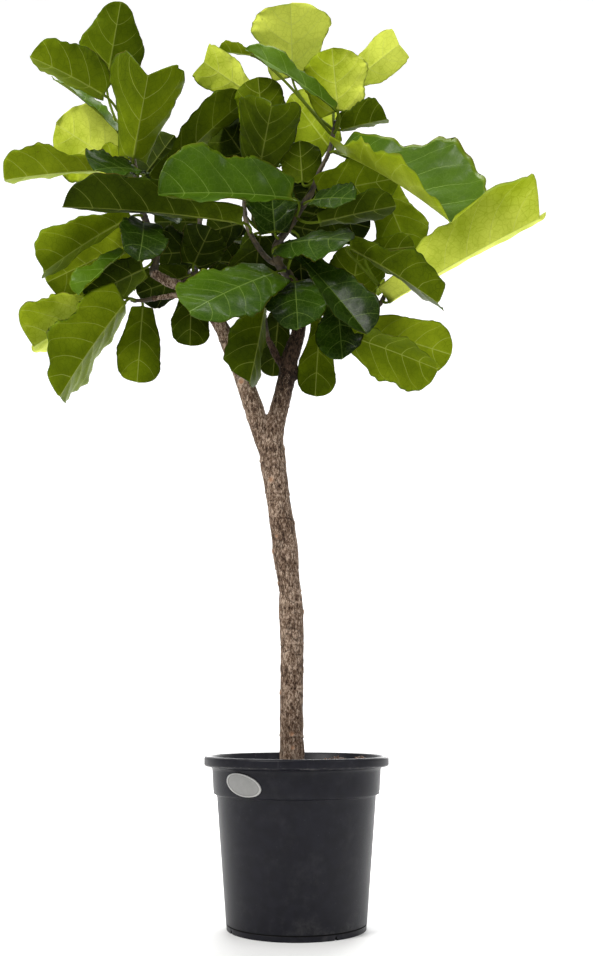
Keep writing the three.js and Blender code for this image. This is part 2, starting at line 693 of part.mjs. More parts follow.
// The soil fills the pot to below the rim, with a lumpy top.
function makeSoil(sleeve) {
  const walls = inside.slice(1, 4).map(([r, z]) => [r - gap * 1.2, z]);
  walls[0][1] = floorTop + gap;
  const topRadius = collarTop[0] - potWall - gap * 1.2 - 0.3;
  const profile = [[0, floorTop + gap], ...walls, [topRadius, soilTop - 5], [topRadius - 5, soilTop - 1],
    [100, soilTop], [52, soilTop], [0, soilTop]];
  const geometry = new THREE.LatheGeometry(profile.map(([r, z]) => new THREE.Vector2(r, z)), potSides);
  geometry.rotateX(Math.PI / 2);
  const spots = geometry.attributes.position;
  for (let i = 0; i < spots.count; i += 1) {
    const x = spots.getX(i);
    const y = spots.getY(i);
    const r = Math.hypot(x, y);
    if (spots.getZ(i) > soilTop - 0.5 && r > 10) {
      const lump = 2.2 * Math.sin(x * 0.09 + 1.3) * Math.cos(y * 0.11) + 1.6 * Math.sin(x * 0.21 - y * 0.17);
      const bank = 3 * clamp((x - y * 0.6) / 150, -1, 1);
      spots.setZ(i, spots.getZ(i) + lump + bank);
    }
  }
  return fromGeometry(geometry).subtract(sleeve);
}

const part = new THREE.Group();

function put(name, manifold, colour, roughness, metalness = 0) {
  const material = new THREE.MeshStandardMaterial({ color: colour, roughness, metalness });
  const mesh = new THREE.Mesh(toGeometry(manifold), material);
  mesh.name = name;
  part.add(mesh);
}

const sleeve = tree(gap);
put('pot', makePot(), 0x3a3b3e, 0.5);
put('pot_badge', makeBadge(), 0x9b9c9a, 0.4);
put('soil', makeSoil(sleeve), 0x4a3524, 0.95);
put('trunk', tree(0), 0x857566, 0.9);
Object.entries(shoots).forEach(([name, shoot]) => {
  put(`leafy_stem_${name}`, leafyStem(shoot, sleeve), 0x5d7f23, 0.5);
});

export default part;
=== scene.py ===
import itertools
import math

import bpy
import numpy as np
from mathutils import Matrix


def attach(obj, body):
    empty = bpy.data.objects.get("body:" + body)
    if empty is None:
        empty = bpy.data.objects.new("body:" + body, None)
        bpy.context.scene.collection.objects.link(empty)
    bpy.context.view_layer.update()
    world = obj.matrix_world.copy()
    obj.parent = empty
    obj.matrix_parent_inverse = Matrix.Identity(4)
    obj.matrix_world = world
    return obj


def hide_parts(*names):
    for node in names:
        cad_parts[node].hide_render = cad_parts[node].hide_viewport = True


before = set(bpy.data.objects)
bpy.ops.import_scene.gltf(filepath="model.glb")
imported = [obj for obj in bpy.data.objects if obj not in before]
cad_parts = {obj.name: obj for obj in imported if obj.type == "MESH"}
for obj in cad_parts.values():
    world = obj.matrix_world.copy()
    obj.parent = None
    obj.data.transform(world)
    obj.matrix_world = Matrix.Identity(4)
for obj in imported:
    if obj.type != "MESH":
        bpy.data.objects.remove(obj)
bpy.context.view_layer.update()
mm = 0.001  # sizes below are millimetres, meshes are metres
print("frame:", len(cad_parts), "nodes")


# small helpers for shapes

def unit(vectors):
    return vectors / np.linalg.norm(vectors, axis=-1, keepdims=True)


# Rises from 0 at low to 1 at high with level ends: t squared times (3 - 2t).
def ease(value, low, high):
    t = np.clip((value - low) / (high - low), 0, 1)
    return t * t * (3 - 2 * t)


# Large odd factors that turn a lattice corner into a number that looks random.
scramble = {"axes": np.array([374761393, 668265263, 144665]), "seed": 974634777, "mix": 1274126177}


# Random values on a lattice of cells of one size, from -1 to 1, blended smoothly between the eight corners
# round each point.
def lumps(points, size, seed):
    cell = points / size
    low = np.floor(cell).astype(np.int64)
    t = cell - low
    t = t * t * (3 - 2 * t)
    total = np.zeros(points.shape[:-1])
    for corner in itertools.product((0, 1), repeat=3):
        spot = low + np.array(corner)
        code = (spot * scramble["axes"]).sum(axis=-1) + seed * scramble["seed"]
        code = ((code ^ (code >> 13)) * scramble["mix"]) & 0xFFFFFFFF
        value = ((code ^ (code >> 16)) & 0xFFFF) / 32767.5 - 1
        share = np.where(np.array(corner) == 1, t, 1 - t).prod(axis=-1)
        total += value * share
    return total


# Three sizes of lumps on each other, each half as big and half as high as the one before.
def crumble(points, size, seed):
    return sum(lumps(points, size / 2 ** k, seed + k) / 2 ** k for k in range(3))


# A closed skin: rings of points (rows x ring x 3), and a pole point that closes either end.
def skin(rings, first, last, **marks):
    rows, ring = rings.shape[:2]
    points = np.vstack([rings.reshape(-1, 3), [first], [last]])
    row, k = np.meshgrid(np.arange(rows - 1), np.arange(ring), indexing="ij")
    a, b = row * ring + k, row * ring + (k + 1) % ring
    quads = np.stack([a, b, b + ring, a + ring], -1).reshape(-1, 4)
    k = np.arange(ring)
    n, end = (k + 1) % ring, (rows - 1) * ring
    fans = np.vstack([
        np.stack([np.full(ring, rows * ring), n, k], -1),
        np.stack([np.full(ring, rows * ring + 1), end + k, end + n], -1),
    ])
    corners = points[np.vstack([quads[:, :3], quads[:, [0, 2, 3]], fans])]
    if np.einsum("ij,ij", corners[:, 0], np.cross(corners[:, 1], corners[:, 2])) < 0:
        quads, fans = quads[:, ::-1], fans[:, ::-1]  # faces out
    full = {}
    for name, value in marks.items():
        value = value.ravel()
        full[name] = np.append(value, [value[0], value[-1]])
    return {"points": points, "quads": quads, "fans": fans, "marks": full}


# Adds one number for each point of a mesh, under a name that the materials read.
def addMark(mesh, name, values):
    mesh.attributes.new(name, "FLOAT", "POINT").data.foreach_set("value", values.astype(np.float32))


# Puts skins into one mesh, with every mark as a number on its points.
def buildPiece(name, skins, materials, nodes):
    shifts = np.cumsum([0] + [len(s["points"]) for s in skins])
    points = np.concatenate([s["points"] for s in skins]) * mm
    quads = np.concatenate([s["quads"] + shift for s, shift in zip(skins, shifts)])
    fans = np.concatenate([s["fans"] + shift for s, shift in zip(skins, shifts)])
    corners = np.concatenate([quads.ravel(), fans.ravel()]).astype(np.int32)
    starts = np.concatenate([np.arange(0, quads.size, 4), quads.size + np.arange(0, fans.size, 3)])
    mesh = bpy.data.meshes.new(name)
    mesh.vertices.add(len(points))
    mesh.vertices.foreach_set("co", points.ravel().astype(np.float32))
    mesh.loops.add(len(corners))
    mesh.loops.foreach_set("vertex_index", corners)
    mesh.polygons.add(len(starts))
    mesh.polygons.foreach_set("loop_start", starts.astype(np.int32))
    for mark in skins[0]["marks"]:
        addMark(mesh, mark, np.concatenate([s["marks"][mark] for s in skins]))
    which = np.concatenate(
        [np.full(len(s[part]), s.get("material", 0)) for part in ("quads", "fans") for s in skins])
    for material in materials:
        mesh.materials.append(material)
    mesh.polygons.foreach_set("material_index", which.astype(np.int32))
    mesh.update(calc_edges=True)
    mesh.shade_smooth()
    piece = bpy.data.objects.new(name, mesh)
    bpy.context.scene.collection.objects.link(piece)
    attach(piece, "root")
    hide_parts(*nodes)
    return piece


# Works the piece's modifiers into its mesh.
def settleModifiers(piece):
    bpy.context.view_layer.update()
    shown = piece.evaluated_get(bpy.context.evaluated_depsgraph_get())
    mesh = bpy.data.meshes.new_from_object(shown)
    piece.modifiers.clear()
    piece.data = mesh
    return mesh


# small helpers for materials

# One value in a node tree. Arithmetic on it adds Math nodes.
class Wire:
    def __init__(self, tree, socket=None):
        self.tree = tree
        self.socket = socket

    # any node: its type, its settings (set first), its sockets' values or links, and the output wanted
    def node(self, kind, settings=None, sockets=None, output=0):
        made = self.tree.nodes.new("ShaderNode" + kind)
        for name, value in (settings or {}).items():
            if name == "stops":
                ramp = made.color_ramp.elements
                while len(ramp) < len(value):
                    ramp.new(0.5)
                for stop, (place, colour) in zip(ramp, value):
                    stop.position, stop.color = place, (*colour, 1)
            else:
                setattr(made, name, value)
        for name, value in (sockets or {}).items():
            if isinstance(value, Wire):
                self.tree.links.new(value.socket, made.inputs[name])
            else:
                made.inputs[name].default_value = value
        return Wire(self.tree, made.outputs[output])

    def math(self, operation, *values):
        return self.node("Math", {"operation": operation}, dict(enumerate(values)))

    def __add__(self, other):
        return self.math("ADD", self, other)

    def __sub__(self, other):
        return self.math("SUBTRACT", self, other)

    def __rsub__(self, other):
        return self.math("SUBTRACT", other, self)

    def __mul__(self, other):
        return self.math("MULTIPLY", self, other)

    def __truediv__(self, other):
        return self.math("DIVIDE", self, other)

    def __rtruediv__(self, other):
        return self.math("DIVIDE", other, self)

    def __pow__(self, other):
        return self.math("POWER", self, other)

    __radd__ = __add__
    __rmul__ = __mul__

    # 0 below low, 1 above high, smooth between; with low above high it falls instead
    def step(self, low, high):
        return self.node("MapRange", {"interpolation_type": "SMOOTHSTEP"},
                         {"Value": self, "From Min": low, "From Max": high})

    # colours a and b mixed by this value
    def tint(self, a, b, blend="MIX"):
        a, b = [c if isinstance(c, Wire) else (*c, 1) for c in (a, b)]
        return self.node("Mix", {"data_type": "RGBA", "blend_type": blend, "clamp_factor": True},
                         {0: self, 6: a, 7: b}, 2)

    # a colour from stops of place and colour, at this value
    def ramp(self, stops):
        return self.node("ValToRGB", {"stops": stops}, {"Fac": self})

    # the X, Y or Z of this place
    def axis(self, letter):
        return self.node("SeparateXYZ", sockets={"Vector": self}, output=letter)

    def mark(self, name):
        return self.node("Attribute", {"attribute_name": name}, output="Fac")

    # where a point is in metres, stretched along the axes
    def place(self, stretch=(1, 1, 1)):
        where = self.node("TexCoord", output="Object")
        return self.node("VectorMath", {"operation": "MULTIPLY"}, {0: where, 1: stretch})

    def noise(self, where, scale, detail=3, roughness=0.55):
        return self.node("TexNoise", sockets={
            "Vector": where, "Scale": scale, "Detail": detail, "Roughness": roughness})

    def cells(self, where, scale, feature="F1", output="Distance"):
        return self.node("TexVoronoi", {"feature": feature}, {"Vector": where, "Scale": scale}, output)


# A material: its recipe gets an empty wire and returns the shader's sockets, with relief as a height in
# metres.
def makeMaterial(name, recipe):
    material = bpy.data.materials.new(name)
    material.use_nodes = True
    tree = material.node_tree
    tree.nodes.clear()
    start = Wire(tree)
    sockets = recipe(start)
    relief = sockets.pop("relief", None)
    if relief:
        sockets["Normal"] = start.node("Bump", sockets={"Height": relief, "Distance": 1.0, "Strength": 1.0})
    shader = start.node("BsdfPrincipled", sockets=sockets)
    output = tree.nodes.new("ShaderNodeOutputMaterial")
    tree.links.new(shader.socket, output.inputs["Surface"])
    return material


# where the photograph was taken from

view = {
    "eye": np.array([0.0, -2000.0, 388.0]),
    "pitch": 8,  # degrees upwards
    "lens": 40.07,
    "film": 36,  # its long side
    "shift": 0.088,
    "farthest": 50,  # metres
}

camera = bpy.data.objects.new("camera", bpy.data.cameras.new("camera"))
bpy.context.scene.collection.objects.link(camera)
camera.location = view["eye"] * mm
camera.rotation_euler = (math.radians(90 + view["pitch"]), 0, 0)
camera.data.lens = view["lens"]
camera.data.sensor_width = view["film"]
camera.data.shift_y = view["shift"]
camera.data.clip_end = view["farthest"]
bpy.context.scene.camera = camera


# A place given by its x and z on the upright plane through the trunk, as seen from the eye, and its depth
# behind that plane.
def seen(rows):
    rows = np.asarray(rows, float)
    onPlane = np.stack([rows[..., 0], 0 * rows[..., 0], rows[..., 1]], -1)
    return view["eye"] + (onPlane - view["eye"]) * (1 - rows[..., 2:3] / view["eye"][1])


# A smooth curve through points: on each span a cubic whose end slopes come from the neighbours at
# square-root spacing. Returns count + 1 points, equally many on each span.
def smoothPath(points, count):
    ends = np.vstack([2 * points[0] - points[1], points, 2 * points[-1] - points[-2]])
    spans = len(points) - 1
    along = np.arange(count + 1) / count * spans
    i = np.minimum(along.astype(int), spans - 1)
    t = (along - i)[:, None]
    before, a, b, after = (ends[i + k] for k in range(4))
    pairs = ((before, a), (a, b), (b, after))
    gaps = [np.linalg.norm(q - p, axis=1, keepdims=True) ** 0.5 for p, q in pairs]
    middle = (b - a) / gaps[1]
    slopeA = ((a - before) / gaps[0] - (b - before) / (gaps[0] + gaps[1]) + middle) * gaps[1]
    slopeB = (middle - (after - a) / (gaps[1] + gaps[2]) + (after - b) / gaps[2]) * gaps[1]
    return (a * (2 * t ** 3 - 3 * t ** 2 + 1) + slopeA * (t ** 3 - 2 * t ** 2 + t)
            + b * (3 * t ** 2 - 2 * t ** 3) + slopeB * (t ** 3 - t ** 2))


# A path's own direction at each of its points and two square to it, the first as near as possible to a
# given one.
def acrossPath(points, near):
    tangents = unit(np.gradient(points, axis=0))
    near = np.broadcast_to(np.asarray(near, float), points.shape)
    side = unit(near - (near * tangents).sum(-1, keepdims=True) * tangents)
    return tangents, side, np.cross(tangents, side)


# A round rod along a path: at each point a circle of that radius, times a relief for every place on the skin.
def rod(points, radii, sides, relief=None, near=(0, 1, 0)):
    tangents, side, other = acrossPath(points, near)
    angle = np.linspace(0, 2 * np.pi, sides, endpoint=False)
    circle = side[:, None] * np.cos(angle)[:, None] + other[:, None] * np.sin(angle)[:, None]
    radius = np.asarray(radii)[:, None] * np.ones(sides)
    if relief is not None:
        radius = radius + relief(points[:, None] + circle * radius[..., None])
    return points[:, None] + circle * radius[..., None], points[0], points[-1]


# Half width of the blade as a share of its greatest, at stations from base to tip, for a fiddle-shaped, an
# oval and a blunt-ended leaf.
outline = {
    "stations": np.array([0, 0.035, 0.1, 0.2, 0.32, 0.45, 0.58, 0.7, 0.8, 0.88, 0.945, 0.985, 1]),
    "waisted": np.array([0.04, 0.34, 0.43, 0.46, 0.53, 0.7, 0.88, 0.99, 0.97, 0.84, 0.61, 0.32, 0.04]),
    "oval": np.array([0.04, 0.44, 0.66, 0.84, 0.94, 0.99, 1, 0.95, 0.84, 0.7, 0.49, 0.25, 0.04]),
    "blunt": np.array([0.04, 0.36, 0.46, 0.52, 0.66, 0.82, 0.92, 0.98, 1, 0.95, 0.86, 0.7, 0.04]),
}

leafShape = {
    "rows": 62,  # from base to tip
    "columns": 30,  # from edge to edge, on each face
    "stalkRows": 9,
    "thickness": 0.9,
    "stalk": (3, 2.4),  # radius at the stem and at the blade
    "wave": 0.035,  # of the width, three to a side
    "frill": 0.014,  # of the width, finer, only near the edge
    "lobe": 0.15,  # how far the base reaches back beside the stalk, of the width
    "corner": 0.5,  # how far a blunt leaf's corners reach past the tip, of the half width
    "uneven": 0.06,  # slow change of the half width along the edge
    "nick": 0.014,  # quick change of it
    "quilt": 1.9,  # how high the blade bulges between its side veins
    "dip": 0.5,  # how deep the groove over the midrib is
    "midrib": 2.1,  # how far it stands out underneath at the base
    "midribWide": 2.1,
    "fullSize": 220,  # length from which the midrib has its whole size
    "reach": 68,  # mm of blade per side vein, on top of two
    "slant": 0.72,  # how far a side vein climbs per mm from the midrib
    "most": 7,  # side veins
    "nearlyFlat": 0.002,  # the least bend, so that its arc has a radius
}


# Cubic through the outline's stations: each slope is the mean of the two spans that meet there.
def outlineAt(u, values):
    stations = outline["stations"]
    rise = np.diff(values) / np.diff(stations)
    slopes = np.concatenate([rise[:1], (rise[:-1] + rise[1:]) / 2, rise[-1:]])
    i = np.clip(np.searchsorted(stations, u, side="left") - 1, 0, len(stations) - 2)
    span = stations[i + 1] - stations[i]
    t = (u - stations[i]) / span
    return ((2 * t ** 3 - 3 * t ** 2 + 1) * values[i] + (t ** 3 - 2 * t ** 2 + t) * span * slopes[i]
            + (3 * t ** 2 - 2 * t ** 3) * values[i + 1] + (t ** 3 - t ** 2) * span * slopes[i + 1])


# Share of the half width at u. An oval of 0 is fiddle-shaped, 1 is oval, and towards -1 the end gets blunt.
def outlineShare(u, oval):
    other = outline["blunt"] if oval < 0 else outline["oval"]
    amount = abs(oval)
    return (1 - amount) * outlineAt(u, outline["waisted"]) + amount * outlineAt(u, other)


# A leaf's own directions: along its chord, out of its upper face and across. The face is turned about the
# chord from the eye, or from the sky.
def leafFrame(row, toSky):
    x0, z0, d0, x1, z1, d1, width, turn, bend, fold, oval, tone = row
    base, tip = seen([x0, z0, d0]), seen([x1, z1, d1])
    along = unit(tip - base)
    up = np.array([0, 0, 1.0]) if toSky else view["eye"] - (base + tip) / 2
    up = unit(up - up.dot(along) * along)
    turn = math.radians(turn)
    up = up * math.cos(turn) + np.cross(along, up) * math.sin(turn)
    return {
        "base": base, "along": along, "up": up, "across": np.cross(up, along),
        "length": np.linalg.norm(tip - base), "width": width, "oval": oval, "tone": tone,
        "bend": math.radians(bend) if abs(bend) > 0.1 else leafShape["nearlyFlat"],
        "fold": math.radians(fold),
    }


# Half width of the blade at u on either side: its outline, made a little uneven by a slow and a quick wave,
# and at the base never narrower than the stalk.
def halfWidth(leaf, u, side, phase):
    uneven = 1 + leafShape["uneven"] * np.sin(2 * np.pi * (1.8 * u + 1.7 * phase) + 2.4 * side)
    nick = leafShape["nick"] * np.sin(
        2 * np.pi * (7.1 * u + 2.3 * phase) + 4 * side + 2 * np.sin(19 * u + side))
    stub = leafShape["stalk"][1] * (1 - ease(u, 0, 0.06))
    share = outlineShare(u, leaf["oval"]) * (uneven + nick * ease(u, 0.04, 0.2))
    return np.maximum(leaf["width"] / 2 * share, stub)


# Middle surface of the blade for u from base to tip and v from edge to edge. The midrib is an arc, the two
# halves rise by the fold, a wave runs along each side, and the blade bulges between its side veins. The base
# reaches back beside the stalk, and the corners of a blunt leaf reach past its tip.
def bladeSurface(leaf, u, v, phase):
    u, v = u[:, None], v[None, :]
    half, wide = leaf["bend"] / 2, leaf["width"]
    angle = leaf["bend"] * (u - 0.5)
    arc = leaf["length"] / (2 * math.sin(half))
    forward = arc * (np.sin(angle) + math.sin(half))
    rise = arc * (np.cos(angle) - math.cos(half))
    side = np.sign(v)
    reach = np.abs(v) * halfWidth(leaf, u, side, phase)
    lift = leaf["fold"] * (0.75 + 0.5 * np.abs(v))
    wave = leafShape["wave"] * wide * v ** 2 * np.minimum(1, 4 * u) * np.sin(
        2 * np.pi * (2.6 * u + phase) + 1.1 * side)
    frill = leafShape["frill"] * wide * v ** 6 * ease(u, 0.05, 0.3) * np.sin(
        2 * np.pi * (8.3 * u + 3 * phase) + 2.3 * side)
    corner = leafShape["corner"] * max(0, -leaf["oval"]) * reach * np.clip((u - 0.6) / 0.4, 0, 1) ** 2
    back = corner - leafShape["lobe"] * wide * np.abs(v) ** 1.5 * np.minimum(1, u / 0.05) * np.clip(
        1 - u / 0.35, 0, 1) ** 2
    climb = leafShape["slant"] * reach / leaf["length"] * (0.5 + 0.7 * np.abs(v))
    veins = veinCount(leaf) * (u ** 0.9 - climb)
    bulge = leafShape["quilt"] * wide / 150 * ease(np.abs(v), 0, 0.22) * (1 - np.abs(v) ** 3)
    bulge = bulge * ease(u, 0.02, 0.12) * (np.abs(np.sin(np.pi * veins)) ** 0.8 - 0.6)
    dip = -leafShape["dip"] * np.exp(-(reach / 4) ** 2) * ease(u, 0.03, 0.1)
    normal = leaf["up"] * np.cos(angle)[..., None] + leaf["along"] * np.sin(angle)[..., None]
    tangent = leaf["along"] * np.cos(angle)[..., None] - leaf["up"] * np.sin(angle)[..., None]
    points = (leaf["base"] + leaf["along"] * forward[..., None] + leaf["up"] * rise[..., None]
              + leaf["across"] * (side * reach * np.cos(lift))[..., None]
              + normal * (reach * np.sin(lift) + wave + frill + bulge + dip)[..., None]
              + tangent * back[..., None])
    return points, reach + 0 * u, veins + 0 * v


# Two side veins and one more for each reach of the blade's length, up to the most.
def veinCount(leaf):
    return min(leafShape["most"], round(2 + leaf["length"] / leafShape["reach"]))


# Curve of the stalk: from its root in the stem it leaves towards a point behind the blade, and arrives along
# the midrib.
def stalkPath(leaf, root, t):
    half = leaf["bend"] / 2
    start = leaf["along"] * math.cos(half) + leaf["up"] * math.sin(half)
    middle = leaf["base"] - start * min(40, np.linalg.norm(root - leaf["base"]) / 2)
    t = t[:, None]
    return root * (1 - t) ** 2 + middle * 2 * t * (1 - t) + leaf["base"] * t ** 2


# A leaf in one skin. Each ring runs over the upper face from edge to edge and back underneath. On the stalk
# the rings are round, and over the first part of the blade they flatten into its thickness and the midrib
# below.
def leafSkin(leaf, phase, root, number):
    shape = leafShape
    s = np.linspace(0, 1, shape["rows"])
    u = s - 0.5 * np.sin(2 * np.pi * s) / (2 * np.pi)  # closer rows at both ends
    s = np.linspace(-1, 1, shape["columns"] + 1)
    v = np.sign(s) * np.abs(s) ** 1.3  # closer columns by the midrib
    blade, reach, veins = bladeSurface(leaf, u, v, phase)
    normals = unit(np.cross(np.gradient(blade, axis=0), np.gradient(blade, axis=1)))
    flat = ease(u, 0, 0.05)[:, None]
    swell = np.sqrt(1 - np.abs(v) ** 2)[None, :]
    edge = np.sqrt(1 - np.abs(v) ** 8)[None, :]
    radius = shape["stalk"][1]
    thick = radius * swell * (1 - flat) + shape["thickness"] / 2 * edge * flat
    size = min(1, leaf["length"] / shape["fullSize"])
    ribWide = size * shape["midribWide"] * (1 - 0.65 * u)[:, None]
    rib = size * shape["midrib"] * (1 - u)[:, None] ** 0.8 * np.exp(-(reach / ribWide) ** 2)
    upper = blade + normals * thick[..., None]
    lower = (blade - normals * (thick + rib)[..., None])[:, -2:0:-1]
    rings = np.concatenate([upper, lower], axis=1)

    t = np.linspace(0, 1, shape["stalkRows"], endpoint=False)
    path = stalkPath(leaf, root, np.append(t, 1))
    tangents, side, other = acrossPath(path, leaf["across"])
    radii = shape["stalk"][0] + (radius - shape["stalk"][0]) * np.append(t, 1)
    above = side[:, None] * v[:, None] + np.cross(tangents, side)[:, None] * swell.T
    below = (side[:, None] * v[:, None] - np.cross(tangents, side)[:, None] * swell.T)[:, -2:0:-1]
    stalk = path[:, None] + np.concatenate([above, below], axis=1) * radii[:, None, None]
    rings = np.concatenate([stalk[:-1], rings])

    turnedUnder = np.concatenate([0 * v, 0 * v[1:-1] + 1])
    turnedUnder[[0, shape["columns"]]] = 0.5
    stretch = len(t)

    def onRing(upperValues, stalkValue):
        full = np.concatenate([upperValues, upperValues[:, -2:0:-1]], axis=1)
        return np.vstack([np.full((stretch, full.shape[1]), stalkValue), full])

    bladeU = np.broadcast_to(u[:, None], reach.shape)
    marks = {
        "vein": onRing(veins, 0),
        "fromRib": onRing(reach * mm, 0),
        "outward": onRing(np.broadcast_to(np.abs(v), reach.shape), 0),
        "down": onRing(bladeU, 0),
        "gap": onRing(0 * bladeU + leaf["length"] / veinCount(leaf) * mm, 0.02),
        "alongLeaf": onRing(bladeU * leaf["length"] * mm + 0.37 * number, 0),
        "acrossLeaf": onRing(reach * np.sign(v) * mm, 0),
        "under": np.vstack([turnedUnder] * len(rings)),
        "blade": onRing(ease(bladeU, 0.005, 0.05), 0),
        "tone": np.full(rings.shape[:2], float(leaf["tone"])),
        "odd": np.full(rings.shape[:2], (number * 0.618) % 1),
    }
    return skin(rings, root, rings[-1].mean(axis=0), **marks)


stem = {
    "nodes": 60,  # places along it where a leaf can be rooted
    "bareNodes": 8,  # the first of them, which stay free
    "rows": 90,
    "budRows": 12,
    "sides": 18,
    "ring": (0.16, 2.2),  # how far a leaf ring stands out, of the radius, and its width
}


# Each leaf is rooted at the nearest place on the stem that no leaf before it has taken.
def leafRoots(path, leaves):
    free = list(smoothPath(path, stem["nodes"])[stem["bareNodes"]:stem["nodes"]])
    roots = []
    for leaf in leaves:
        nearest = int(np.argmin([np.linalg.norm(point - leaf["base"]) for point in free]))
        roots.append(free[nearest])
        del free[nearest:nearest + 2]
    return roots


# The bare stem: a rod from foot to tip with a ring where each leaf is rooted, and a pointed bud in its
# sheath.
def stemSkin(shoot, path, roots):
    spine = smoothPath(path, stem["rows"])
    foot, tip = shoot["radius"]
    radii = np.linspace(foot, tip, len(spine))
    if shoot["bud"]:
        onward = unit(spine[-1] - spine[-2]) * shoot["bud"]
        share = np.linspace(0, 1, stem["budRows"])[1:]
        spine = np.vstack([spine, spine[-1] + onward * share[:, None]])
        swell = 1 + 0.5 * np.sin(np.pi * share) * (1 - share)
        radii = np.append(radii, tip * swell * (1 - share ** 1.6) + 0.15)
    lengths = np.append(0, np.cumsum(np.linalg.norm(np.diff(spine, axis=0), axis=1)))
    ringHeight, ringWidth = stem["ring"]
    for root in roots:
        at = lengths[np.argmin(np.linalg.norm(spine - root, axis=1))]
        radii = radii * (1 + ringHeight * np.exp(-((lengths - at) / ringWidth) ** 2))

    def knobbly(points):
        return 0.35 * lumps(points, 5, 3) + 0.2 * lumps(points, 2.4, 4)

    rings, first, last = rod(spine, radii, stem["sides"], knobbly)
    return {**skin(rings, first, last), "material": 1}


